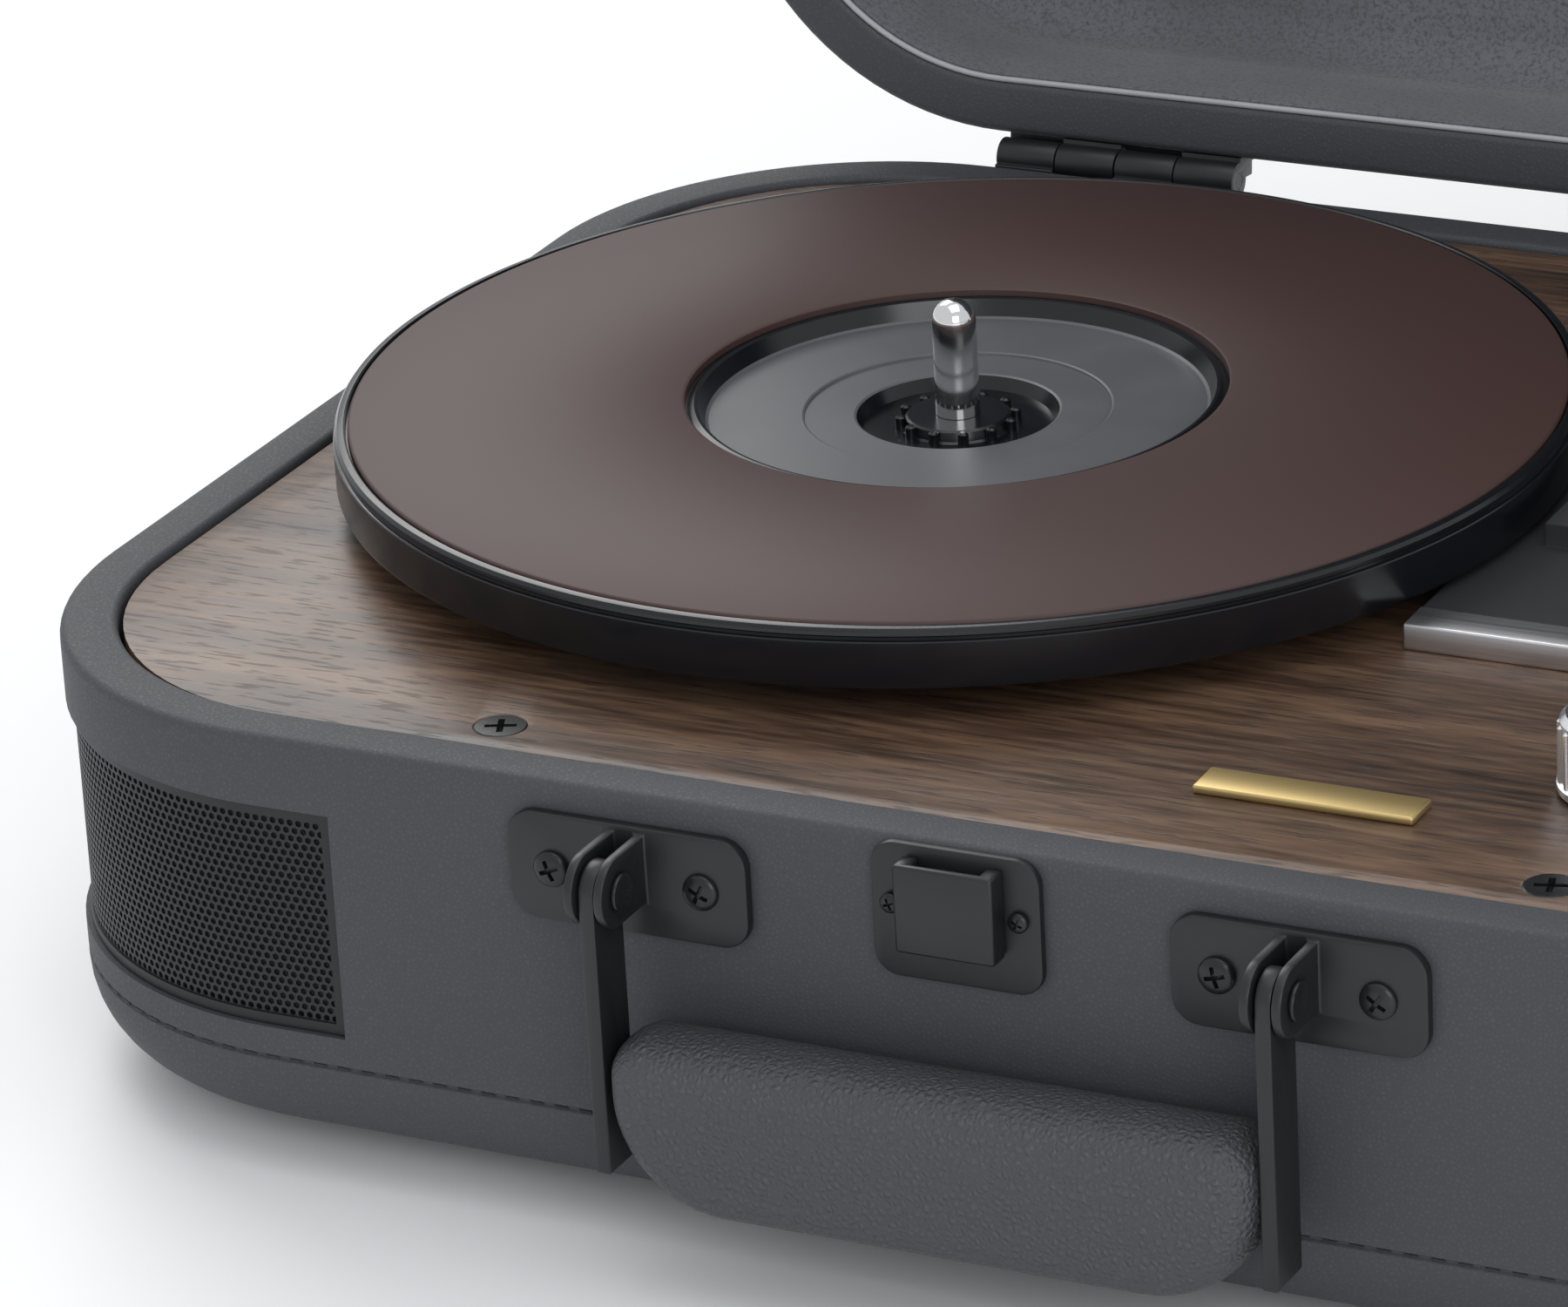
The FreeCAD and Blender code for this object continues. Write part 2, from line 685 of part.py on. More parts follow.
def arm_plinth():
    """Two-step base of the tonearm and the bright strip along its front."""
    steps = {
        "low": ("plinth_left", "plinth_front + trim_wide", "deck_top", "plinth_high"),
        "high": ("platform_left", "platform_front", PLINTH_TOP, "platform_high"),
    }
    slabs = []
    for step, (left, front, low, tall) in steps.items():
        slab = round_slab(f"{step}_slab", "case_wall + 5", low, f"{low} + {tall}")
        block = box(
            f"{step}_block",
            (left, front, low),
            (f"plinth_right - {left}", f"case_deep / 2 - ({front})", tall),
        )
        slabs.append(shared(f"{step}_step", slab, block))
    under, through = "deck_top - 1", "plinth_high + platform_high + 2"
    holes = [
        rod("plinth_turret_hole", ("arm_x", "arm_y", under), "sleeve_radius + play", through),
        rod("plinth_cue_hole", (*CUE_POST, under), "cue_post_radius + 0.4", through),
        *switch_slots("plinth", under, through),
    ]
    node("arm_plinth", cut("arm_plinth", joined("plinth_steps", slabs), holes))
    strip = box(
        "plinth_strip",
        ("plinth_left", "plinth_front", "deck_top"),
        ("plinth_right - plinth_left", "trim_wide", "plinth_high + play"),
    )
    node("plinth_trim", strip)


def tonearm_turret():
    """Fixed sleeve in which the arm's shaft turns."""
    bore = "yoke_shaft + run_play"
    foot = "yoke_foot - 1"
    profile = [
        (bore, foot),
        ("sleeve_radius", foot),
        ("sleeve_radius", PLATFORM_TOP),
        ("turret_radius + 3", PLATFORM_TOP),
        ("turret_radius + 3", f"{PLATFORM_TOP} + 2"),
        ("turret_radius", f"{PLATFORM_TOP} + 4"),
        ("turret_radius", "yoke_low - play"),
        (bore, "yoke_low - play"),
    ]
    node("tonearm_turret", turned("turret_sleeve", profile, ("arm_x", "arm_y", "0")))


def tonearm_yoke():
    """Turning fork with its shaft, and the cross pin that carries the arm."""
    profile = [
        ("0", "yoke_foot"),
        ("yoke_shaft", "yoke_foot"),
        ("yoke_shaft", "yoke_low"),
        ("turret_radius", "yoke_low"),
        ("turret_radius", "yoke_low + 2.4"),
        ("turret_radius - 0.6", "yoke_low + 3"),
        ("0", "yoke_low + 3"),
    ]
    table = turned("yoke_table", profile, ("arm_x", "arm_y", "0"))
    cheeks = []
    for side, sign in SIDES.items():
        low = "arm_x - 9" if sign < 0 else "arm_x + 6"
        cheek = box(
            f"{side}_cheek", (low, "arm_y - 5", "yoke_low + 2"), ("3", "10", "12")
        )
        cheeks.append(cheek)
    bore = rod("yoke_bore", ("arm_x - 10", "arm_y", "arm_z"), "cross_radius", "20", "x")
    fork = joined("yoke_fork", [table, *cheeks])
    node("tonearm_yoke", cut("tonearm_yoke", fork, [bore]))
    pin = rod("cross_pin", ("arm_x - 9.5", "arm_y", "arm_z"), "cross_radius", "19", "x")
    node("arm_pivot_pin", pin)


def tonearm():
    """Arm tube with its pivot block, headshell, cartridge, stylus and weight."""
    block = box(
        "pivot_block", ("arm_x - 5.5", "arm_y - 7", "arm_z - 4.4"), ("11", "14", "8.8")
    )
    front = "arm_y - arm_length + 16"
    tube_long = "arm_length - 16 + counter_back + counter_long"
    long_tube = rod(
        "long_tube", ("arm_x", front, "arm_z"), "tube_radius", tube_long, "y"
    )
    bore = rod(
        "block_bore", ("arm_x - 10", "arm_y", "arm_z"), "cross_radius + run_play", "20", "x"
    )
    arm = joined("tube_and_block", [long_tube, block])
    node("tonearm_tube", cut("tonearm_tube", arm, [bore]))
    shell = box(
        "shell_plate", ("arm_x - 8", f"{front} - 32", "arm_z - 3.4"), ("16", "32", "3.8")
    )
    lift = box(
        "finger_lift", ("arm_x + 8", f"{front} - 24", "arm_z - 1.6"), ("8", "3", "1.4")
    )
    node("headshell", joined("headshell", [shell, lift]))
    cartridge = box(
        "cartridge_box", ("arm_x - 6", f"{front} - 27", "arm_z - 8"), ("12", "18", "4.6")
    )
    node("cartridge", cartridge)
    tip = taper(
        "stylus_tip", ("arm_x", "arm_y - arm_length", "arm_z - 9"), "0.4", "2", "1"
    )
    node("stylus", tip)
    weight = rod(
        "weight_rod",
        ("arm_x", "arm_y + counter_back", "arm_z"),
        "counter_radius",
        "counter_long",
        "y",
    )
    hole = rod("weight_hole", ("arm_x", "arm_y", "arm_z"), "tube_radius", "40", "y")
    node("counterweight", cut("counterweight", weight, [hole]))


def arm_rest():
    """Post with a cradle that is open towards the platter."""
    post = rod(
        "rest_post", ("arm_x", "rest_y", PLINTH_TOP), "4", f"arm_z - 6 - ({PLINTH_TOP})"
    )
    low = "arm_z - tube_radius - play - 3"
    seat = box("rest_seat", ("arm_x - 6", "rest_y - 4", low), ("14", "8", "3"))
    wall = box("rest_wall", ("arm_x + 4.2", "rest_y - 4", low), ("3.8", "8", "8"))
    node("arm_rest", joined("arm_rest", [post, seat, wall]))


def cueing():
    """Lifting bar under the arm and the lever that works it."""
    at = ("arm_x", "arm_y", "cue_bar_low")
    disc = rod("cue_disc", at, "cue_radius + 2", "2")
    core = rod("cue_core", at, "cue_radius - 2", "2")
    quarter = box(
        "cue_quarter",
        ("arm_x - cue_radius - 3", "arm_y - cue_radius - 3", "cue_bar_low - 1"),
        ("cue_radius + 8", "cue_radius + 3", "4"),
    )
    bar = shared("cue_bar", cut("cue_ring", disc, [core]), quarter)
    foot = (*CUE_POST, "cue_post_low")
    post = rod("cue_post", foot, "cue_post_radius", "cue_bar_low - cue_post_low + 1")
    node("cue_lift", joined("cue_lift", [bar, post]))
    stick = box("lever_stick", ("lever_x - 1", "-1.5", "-3"), ("2", "3", "21"))
    hub = rod("lever_hub", ("lever_x - 1", "0", "0"), "3", "2", "x")
    paddle = box("lever_paddle", ("lever_x - 3", "-2", "17"), ("6", "4", "5"))
    lever = joined("cue_lever", [stick, hub, paddle])
    lean = Rotation(Vector(1, 0, 0), SIZE["lever_lean"])
    node("cue_lever", place(lever, ("0", "lever_y", "lever_z"), lean))


# ----------------------------------------------------------------------------
# Controls and electronics
# ----------------------------------------------------------------------------
def knobs():
    """Two faceted knobs on their stems, each over its own control."""
    sizes = {"volume": ("volume_x", "volume_radius"), "mode": ("mode_x", "mode_radius")}
    cans = []
    for name, (across, radius) in sizes.items():
        prism = doc.addObject("Part::Prism", f"{name}_prism")
        prism.Polygon = 12
        prism.setExpression("Circumradius", bound(radius))
        prism.setExpression("Height", bound("knob_high"))
        place(prism, (across, "knob_y", "deck_top + 0.5"))
        stem = rod(f"{name}_stem", (across, "knob_y", "60"), "stem_radius", "15")
        node(f"{name}_knob", joined(f"{name}_knob", [prism, stem]))
        can = tube("8", "stem_radius + run_play", "56", DECK_LOW)
        cans.append(turned(f"{name}_can", can, (across, "knob_y", "0")))
    node("control_cans", group("control_cans", cans))


def slide_switches():
    """Speed selector and auto-stop switch on the plinth."""
    spots = {
        "speed_lever": ("speed_x", "7", "10", "5"),
        "autostop_switch": ("stop_x", "5", "7", "2.5"),
    }
    for label, (across, wide, deep, tall) in spots.items():
        cap = box(
            f"{label}_cap",
            (f"{across} - {wide} / 2", f"switch_y - {deep} / 2", f"{PLINTH_TOP} + play"),
            (wide, deep, tall),
        )
        blade = box(
            f"{label}_blade",
            (f"{across} - 1.5", "switch_y - 1", "64"),
            ("3", "2", f"{PLINTH_TOP} + 1 - 64"),
        )
        node(label, joined(label, [cap, blade]))


def electronics():
    """Circuit board on short posts that stand on the tray's floor."""
    low = ("board_x - board_wide / 2", "board_y - board_deep / 2", "board_low")
    board = box("board", low, ("board_wide", "board_deep", "1.6"))
    node("main_board", board)


def rear_jacks():
    """Panel in the rear wall with power, phono and two small audio jacks."""
    front = f"{REAR} - panel_thick"
    plate = box(
        "jack_plate",
        ("panel_x - panel_wide / 2 + play", front, "panel_low + play"),
        ("panel_wide - 2 * play", "panel_thick", "panel_high - 2 * play"),
    )
    level = "panel_low + panel_high / 2"
    holes = []
    spots = {"dc": (-26, 4.6), "aux": (-8, 3), "phones": (6, 3)}
    for name, (across, radius) in spots.items():
        at = (f"panel_x + {across}", f"{front} - 1", level)
        holes.append(rod(f"{name}_hole", at, str(radius), "panel_thick + 2", "y"))
    for i, across in enumerate((19, 31)):
        at = (f"panel_x + {across}", f"{front} - 1", level)
        holes.append(rod(f"phono_hole_{i}", at, "3", "panel_thick + 2", "y"))
    node("rear_jack_panel", cut("rear_jack_panel", plate, holes))
    bores = {"dc": "2.75", "aux": "1.8", "phones": "1.8"}
    sockets = []
    for name, (across, radius) in spots.items():
        profile = [
            ("0", "-13"),
            (f"{radius} + 1.5", "-13"),
            (f"{radius} + 1.5", "-panel_thick"),
            (str(radius), "-panel_thick"),
            (str(radius), "0"),
            (bores[name], "0"),
            (bores[name], "-11"),
            ("0", "-11"),
        ]
        at = (f"panel_x + {across}", REAR, level)
        jack = turned(f"{name}_socket", profile, at, "y")
        if name == "dc":
            pin = rod("dc_pin", (at[0], f"{REAR} - 12", level), "1", "10", "y")
            node("dc_jack", joined("dc_jack", [jack, pin]))
        else:
            sockets.append(jack)
    node("audio_jacks", group("audio_jacks", sockets))
    plugs = []
    for i, across in enumerate((19, 31)):
        at = (f"panel_x + {across}", REAR, level)
        profile = [
            ("1.7", "-9"),
            ("4.5", "-9"),
            ("4.5", "-panel_thick"),
            ("3", "-panel_thick"),
            ("3", "0"),
            ("4.15", "0"),
            ("4.15", "8"),
            ("1.7", "8"),
        ]
        plugs.append(turned(f"phono_{i}", profile, at, "y"))
    node("rca_jacks", group("rca_jacks", plugs))


# ----------------------------------------------------------------------------
# Speakers
# ----------------------------------------------------------------------------
def speakers():
    """Wrapped grille, baffle, driver and magnet in each front corner."""
    rings = {
        "grille": ("grille_inset", "grille_inset + grille_thick"),
        "frame": ("frame_inset", "frame_inset + frame_thick"),
    }
    low, tall = "grille_low + play", "grille_top - grille_low - 2 * play"
    turn = {sign: Rotation(Vector(-1, -sign, 0), 90) for sign in (-1, 1)}
    reach = "(case_corner - frame_inset - frame_thick) / sqrt(2)"
    middle = "(grille_low + grille_top) / 2"
    baffles = []
    cones = []
    magnets = []
    for side, sign in SIDES.items():
        start = "-case_wide / 2" if sign < 0 else "grille_x + play"
        corner_x = f"{sign} * (case_wide / 2 - case_corner + {reach})"
        corner_y = f"-(case_deep / 2 - case_corner + {reach})"
        mouth = (corner_x, corner_y, middle)
        for part, (outer, inner) in rings.items():
            ring = round_slab(f"{side}_{part}_ring", outer, low, f"{low} + {tall}")
            hollow(ring, f"{side}_{part}_hollow", inner, f"{low} + {tall}", tall)
            corner = box(
                f"{side}_{part}_corner",
                (start, f"{FRONT}", low),
                (
                    "case_wide / 2 - grille_x - play",
                    "case_deep / 2 - grille_y - play",
                    tall,
                ),
            )
            wrap = shared(f"{side}_{part}_wrap", ring, corner)
            if part == "frame":
                hole = sized(
                    "Part::Cylinder", f"{side}_mouth", Radius="cone_radius", Height="40"
                )
                place(hole, shifted(mouth, sign, -20), turn[sign])
                baffles.append(cut(f"{side}_baffle", wrap, [hole]))
            else:
                node(f"{side}_speaker_grille", wrap)
        profile = [
            ("0", "speaker_deep - 2"),
            ("5", "speaker_deep - 2"),
            ("cone_radius - 1", "1"),
            ("cone_radius", "1"),
            ("cone_radius", "3"),
            ("8", "speaker_deep"),
            ("0", "speaker_deep"),
        ]
        cone = turned(f"{side}_cone", profile)
        place(cone, shifted(mouth, sign, 0), turn[sign])
        cones.append(cone)
        back = "speaker_deep + play"
        magnet = turned(f"{side}_magnet", tube("13", "0", back, f"{back} + 10"))
        place(magnet, shifted(mouth, sign, 0), turn[sign])
        magnets.append(magnet)
    node("speaker_baffles", group("speaker_baffles", baffles))
    node("speaker_cones", group("speaker_cones", cones))
    node("speaker_magnets", group("speaker_magnets", magnets))


def shifted(mouth, sign, inwards):
    """A point on a speaker's axis, moved towards the middle of the case."""
    step = f"{inwards} / sqrt(2)"
    return (f"{mouth[0]} - {sign} * {step}", f"{mouth[1]} + {step}", mouth[2])


# ----------------------------------------------------------------------------
# Handle and lock
# ----------------------------------------------------------------------------
def round_plate(name, wide, low, tall, corner, back, thick):
    """An upright plate with round corners, standing out from the front face."""
    body = doc.addObject("PartDesign::Body", name)
    sketch = new_sketch(body, f"{name}_outline", "XZ_Plane")
    round_outline(sketch, wide, tall, corner)
    pad(body, f"{name}_pad", sketch, thick)
    return place(body, ("0", back, f"{low} + ({tall}) / 2"))


def handle_brackets():
    """Two riveted brackets on the front, each with a pair of ears and a pin."""
    brackets = []
    pins = []
    screws = []
    pivot_y = f"{FRONT} - pivot_out"
    for side, sign in SIDES.items():
        middle = f"{sign} * handle_x"
        plate = round_plate(
            f"{side}_bracket_plate", "bracket_wide", "bracket_low", "bracket_high",
            "4.5", FRONT, "bracket_thick",
        )
        plate.setExpression("Placement.Base.x", bound(middle))
        pieces = [plate]
        for part, inner in (("near", "-ear_gap / 2 - ear_thick"), ("far", "ear_gap / 2")):
            name = f"{side}_{part}_ear"
            left = f"{middle} + {inner}"
            eye = rod(
                f"{name}_eye", (left, pivot_y, "pivot_z"), "ear_radius", "ear_thick", "x"
            )
            web = box(
                f"{name}_web",
                (left, pivot_y, "pivot_z - ear_radius"),
                ("ear_thick", "pivot_out - 1", "2 * ear_radius"),
            )
            pieces += [eye, web]
        bore = rod(
            f"{side}_ear_bore", (f"{middle} - 10", pivot_y, "pivot_z"), "pin_radius", "20", "x"
        )
        solid = joined(f"{side}_bracket_solid", pieces)
        brackets.append(cut(f"{side}_handle_bracket", solid, [bore]))
        half = "(ear_gap / 2 + ear_thick)"
        at = (f"{middle} - {half}", pivot_y, "pivot_z")
        pin = rod(f"{side}_pin", at, "pin_radius", f"2 * {half}", "x")
        heads = [
            rod(
                f"{side}_rivet_{end}",
                (f"{middle} + {start}", pivot_y, "pivot_z"),
                "pin_radius + 1",
                "0.9",
                "x",
            )
            for end, start in enumerate((f"(-{half} - 0.9)", half))
        ]
        pins.append(joined(f"{side}_handle_pin", [pin, *heads]))
        for end in (-1, 1):
            at = (
                f"{middle} + {end} * bracket_screw_x",
                f"{FRONT} - bracket_thick",
                "bracket_low + bracket_high / 2",
            )
            screws.append(pan_screw(f"{side}_bracket_screw_{end + 1}", at, "-y", "2.9"))
    node("handle_brackets", group("handle_brackets", brackets))
    node("handle_pins", group("handle_pins", pins))
    node("bracket_screws", group("bracket_screws", screws))


def handle():
    """Two flat straps and the padded grip between them, hanging from the pins."""
    pivot_y = f"{FRONT} - pivot_out"
    for side, sign in SIDES.items():
        left = f"{sign} * handle_x - strap_thick / 2"
        eye = rod(
            f"{side}_strap_eye", (left, pivot_y, "pivot_z"), "strap_wide / 2",
            "strap_thick", "x",
        )
        strap = box(
            f"{side}_strap_flat",
            (left, f"{pivot_y} - strap_wide / 2", "strap_low"),
            ("strap_thick", "strap_wide", "pivot_z - strap_low"),
        )
        bore = rod(
            f"{side}_strap_bore", (f"{left} - 1", pivot_y, "pivot_z"),
            "pin_radius + run_play", "strap_thick + 2", "x",
        )
        flat = joined(f"{side}_strap", [eye, strap])
        node(f"handle_{side}_arm", cut(f"handle_{side}_arm", flat, [bore]))
    node("handle_grip", grip_solid())


def grip_solid():
    """Thick bar with well rounded lower corners and soft edges."""
    half = "(handle_x - strap_thick / 2 - 0.05)"
    body = doc.addObject("PartDesign::Body", "grip_bar")
    sketch = new_sketch(body, "grip_outline", "XZ_Plane")
    top = "grip_high"
    low_r, top_r = "grip_corner", "grip_top_corner"
    reach = number(half)
    rise, low_size, top_size = SIZE[top], SIZE[low_r], SIZE[top_r]
    centres = [
        (reach - top_size, rise - top_size, top_size),
        (-reach + top_size, rise - top_size, top_size),
        (-reach + low_size, low_size, low_size),
        (reach - low_size, low_size, low_size),
    ]
    arcs = []
    for i, (across, up, radius) in enumerate(centres):
        circle = Part.Circle(Vector(across, up, 0), Vector(0, 0, 1), radius)
        start = i * math.pi / 2
        arc = Part.ArcOfCircle(circle, start, start + math.pi / 2)
        arcs.append(sketch.addGeometry(arc, False))
    for i in range(4):
        after = arcs[(i + 1) % 4]
        ends = sketch.getPoint(arcs[i], 2), sketch.getPoint(after, 1)
        line = sketch.addGeometry(Part.LineSegment(*ends), False)
        sketch.addConstraint(Sketcher.Constraint("Tangent", arcs[i], 2, line, 1))
        sketch.addConstraint(Sketcher.Constraint("Tangent", line, 2, after, 1))
        direction = "Horizontal" if i % 2 == 0 else "Vertical"
        sketch.addConstraint(Sketcher.Constraint(direction, line))
    for first, second, text in ((0, 1, top_r), (2, 3, low_r)):
        sketch.addConstraint(Sketcher.Constraint("Equal", arcs[first], arcs[second]))
        guess = SIZE[text]
        index = sketch.addConstraint(Sketcher.Constraint("Radius", arcs[first], guess))
        sketch.setExpression(f"Constraints[{index}]", bound(text))
    pin_down(sketch, "DistanceX", (-1, 1), (arcs[0], 3), f"{half} - {top_r}")
    pin_down(sketch, "DistanceX", (-1, 1), (arcs[1], 3), f"{top_r} - {half}")
    pin_down(sketch, "DistanceY", (-1, 1), (arcs[0], 3), f"{top} - {top_r}")
    pin_down(sketch, "DistanceY", (-1, 1), (arcs[2], 3), low_r)
    solid = pad(body, "grip_pad", sketch, "grip_thick")
    faces = [
        f"Face{i + 1}"
        for i, face in enumerate(solid.Shape.Faces)
        if abs(face.BoundBox.YLength) < 0.01
    ]
    fillet(body, "grip_round", solid, faces, "4.5")
    return place(body, ("0", f"{FRONT} - grip_out + grip_thick / 2", "grip_low"))


def lock():
    """Lock plate, its two screws and the catch that slides down to open."""
    plate = round_plate(
        "lock_back", "lock_wide", "lock_low", "lock_high", "4", FRONT, "lock_thick"
    )
    node("lock_plate", plate)
    outer = box(
        "catch_outer",
        ("-box_wide / 2", f"{FRONT} - lock_thick - box_out", "box_low"),
        ("box_wide", "box_out - play", "box_high"),
    )
    throat = box(
        "catch_throat",
        ("-box_wide / 2 + 2.5", f"{FRONT} - lock_thick - 2.9", "box_low + 3"),
        ("box_wide - 5", "3.5", "box_high"),
    )
    node("lock_slider", cut("lock_slider", outer, [throat]))
    screws = []
    for end in (-1, 1):
        at = (f"{end} * lock_screw_x", f"{FRONT} - lock_thick", "lock_screw_z")
        screws.append(pan_screw(f"lock_screw_{end + 1}", at, "-y", "1.6", "0.9", "8"))
    node("lock_screws", group("lock_screws", screws))


# ----------------------------------------------------------------------------
# Lid and hinges, drawn shut
# ----------------------------------------------------------------------------
LID_LOW = "rim_top + lid_gap"
LID_TOP = "rim_top + lid_gap + lid_high"
HINGE_Y = "case_deep / 2 + hinge_out"


def lid_shell():
    """Shallow tray upside down, with a rounded top edge."""
    body = round_slab("lid_tray", "0", LID_LOW, LID_TOP)
    raised = body.Tip
    fillet(body, "lid_edge", raised, edges_at(raised, number(LID_TOP)), "lid_round")
    sketch = new_sketch(body, "lid_hollow_outline", "XY_Plane", LID_LOW)
    round_outline(sketch, *inset("case_wall"))
    before = body.Shape.Volume
    feature = body.newObject("PartDesign::Pocket", "lid_hollow")
    feature.Profile = sketch
    feature.Reversed = True
    feature.setExpression("Length", bound("lid_high - lid_roof"))
    doc.recompute()
    if body.Shape.Volume > before - 1:
        raise RuntimeError("lid_hollow cuts nothing")
    lid_node("lid_shell", body)


def lid_lining():
    """Soft lining tray with a sunk middle panel, flush with the lid's rim."""
    margin = "case_wall"
    low, top = f"{LID_LOW} + 1.5", f"{LID_TOP} - lid_roof"
    outer = round_slab("lining_outer", margin, low, top)
    floor = f"{top} - lining_floor"
    middle = round_slab("lining_space", f"{margin} + lining_wall", f"{low} - 1", floor)
    panel = round_slab(
        "lining_panel", f"{margin} + panel_border", f"{floor} - 1", f"{floor} + panel_sink"
    )
    lid_node("lid_lining", cut("lid_lining", outer, [middle, panel]))


KNUCKLES = 4


def hinges():
    """Leaves, knuckles, pins and screws of the two hinges."""
    length = f"(hinge_wide - {KNUCKLES - 1} * play) / {KNUCKLES}"
    pins = []
    sets = {"base": [], "lid": []}
    for side, sign in SIDES.items():
        start = f"{sign} * hinge_x - hinge_wide / 2"
        leaves = {"base": [], "lid": []}
        for i in range(KNUCKLES):
            owner = "base" if i % 2 == 0 else "lid"
            left = f"{start} + {i} * ({length} + play)"
            name = f"{side}_{owner}_knuckle_{i}"
            barrel = rod(name, (left, HINGE_Y, LID_LOW), "knuckle_radius", length, "x")
            low = f"{LID_LOW} - 6" if owner == "base" else f"{LID_LOW} + 0.5"
            tall = "5.5"
            web = box(f"{name}_web", (left, REAR, low), (length, "hinge_out", tall))
            leaves[owner] += [barrel, web]
        plates = {
            "base": f"{LID_LOW} - 3 - leaf_high",
            "lid": f"{LID_LOW} + 3",
        }
        for owner, low in plates.items():
            plate = box(
                f"{side}_{owner}_leaf_plate",
                (start, REAR, low),
                ("hinge_wide", "leaf_thick", "leaf_high"),
            )
            solid = joined(f"{side}_{owner}_leaf_solid", [plate, *leaves[owner]])
            play = "0" if owner == "base" else "run_play"
            bore = rod(
                f"{side}_{owner}_bore",
                (f"{start} - 1", HINGE_Y, LID_LOW),
                f"hinge_pin + {play}",
                "hinge_wide + 2",
                "x",
            )
            sets[owner].append(cut(f"{side}_{owner}_leaf", solid, [bore]))
        pins.append(
            rod(f"{side}_hinge_pin", (start, HINGE_Y, LID_LOW), "hinge_pin", "hinge_wide", "x")
        )
    node("hinge_pins", group("hinge_pins", pins))
    node("hinge_base_leaves", group("hinge_base_leaves", sets["base"]))
    lid_node("hinge_lid_leaves", group("hinge_lid_leaves", sets["lid"]))
    for owner, level in (("base", f"{LID_LOW} - 13"), ("lid", f"{LID_LOW} + 13")):
        screws = []
        for sign in SIDES.values():
            for end in (-1, 1):
                at = (
                    f"{sign} * hinge_x + {end} * hinge_screw_x",
                    f"{REAR} + leaf_thick",
                    level,
                )
                name = f"hinge_{owner}_screw_{len(screws)}"
                screws.append(pan_screw(name, at, "y", "2.6", "1.2", "8"))
        if owner == "base":
            node("hinge_base_screws", group("hinge_base_screws", screws))
        else:
            lid_node("hinge_lid_screws", group("hinge_lid_screws", screws))


def lid_hasp():
    """Plate on the lid's front with the tongue that drops into the lock."""
    plate = round_plate("hasp_plate", "24", f"{LID_LOW} + 1.5", "18", "4", FRONT, "lock_thick")
    out = f"{FRONT} - lock_thick - 1.8"
    root = box("hasp_root", ("-4", out, f"{LID_LOW} + 2"), ("8", "2.4", "8"))
    tongue = box("hasp_tongue", ("-4", out, f"{LID_LOW} - 8"), ("8", "1.3", "11"))
    lid_node("lid_hasp", joined("lid_hasp", [plate, root, tongue]))
    screws = []
    for end in (-1, 1):
        at = (f"{end} * 8.2", f"{FRONT} - lock_thick", f"{LID_LOW} + 12")
        screws.append(pan_screw(f"hasp_screw_{end + 1}", at, "-y", "1.6", "0.9", "8"))
    lid_node("hasp_screws", group("hasp_screws", screws))


# ----------------------------------------------------------------------------
# Assembly and export
# ----------------------------------------------------------------------------
base_shell()
base_feet()
deck_panel()
deck_screws()
emblem_plate()
platter()
slip_mat()
spindle()
spindle_bearing()
motor()
drive_belt()
arm_plinth()
tonearm_turret()
tonearm_yoke()
tonearm()
arm_rest()
cueing()
knobs()
slide_switches()
electronics()
rear_jacks()
speakers()
handle_brackets()
handle()
lock()
lid_shell()
lid_lining()
hinges()
lid_hasp()
doc.recompute()

for obj in doc.Objects:
    if {"Invalid", "Error"} & set(obj.State):
        raise RuntimeError(f"{obj.Label} did not build: {obj.State}")
for label, obj in NODES.items():
    if obj.Shape.isNull() or not obj.Shape.isValid():
        raise RuntimeError(f"{label} has no valid shape")

os.makedirs("parts", exist_ok=True)
for label, obj in NODES.items():
    obj.Shape.exportStep(f"parts/{label}.step")
print(f"{len(NODES)} nodes written")
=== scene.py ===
"""Suitcase record player: the looks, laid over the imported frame.

Every sub-assembly is a class that builds its meshes in metres in the frame's own
coordinates, dresses them in a finish and lets them ride on their body.
"""
import json
import logging
import math
from dataclasses import dataclass, field
from enum import Enum
from typing import Any, Callable, Iterable, Sequence

import bmesh
import bpy
from mathutils import Matrix, Vector


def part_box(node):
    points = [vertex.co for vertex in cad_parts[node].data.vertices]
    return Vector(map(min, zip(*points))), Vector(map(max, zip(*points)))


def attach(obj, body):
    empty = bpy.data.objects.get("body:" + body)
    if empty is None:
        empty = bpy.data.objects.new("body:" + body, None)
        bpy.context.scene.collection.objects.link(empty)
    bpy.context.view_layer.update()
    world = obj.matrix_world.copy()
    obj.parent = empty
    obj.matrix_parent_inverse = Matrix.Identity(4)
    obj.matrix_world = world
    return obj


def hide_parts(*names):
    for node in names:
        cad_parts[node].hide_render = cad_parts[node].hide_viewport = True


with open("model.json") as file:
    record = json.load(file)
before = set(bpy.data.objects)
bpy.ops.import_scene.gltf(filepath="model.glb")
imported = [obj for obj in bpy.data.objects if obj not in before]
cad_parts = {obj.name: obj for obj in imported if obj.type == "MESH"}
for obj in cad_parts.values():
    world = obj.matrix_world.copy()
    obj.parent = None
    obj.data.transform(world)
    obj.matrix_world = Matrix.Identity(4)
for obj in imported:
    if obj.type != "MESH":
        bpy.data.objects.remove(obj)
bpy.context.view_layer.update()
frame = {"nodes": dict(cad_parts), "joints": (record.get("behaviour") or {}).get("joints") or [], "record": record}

MM = 0.001
CREASE = 32.0
WELD = 1e-7
CAD_WELD = 1e-6
FLAT = 0.5
LOG = logging.getLogger("record_player")
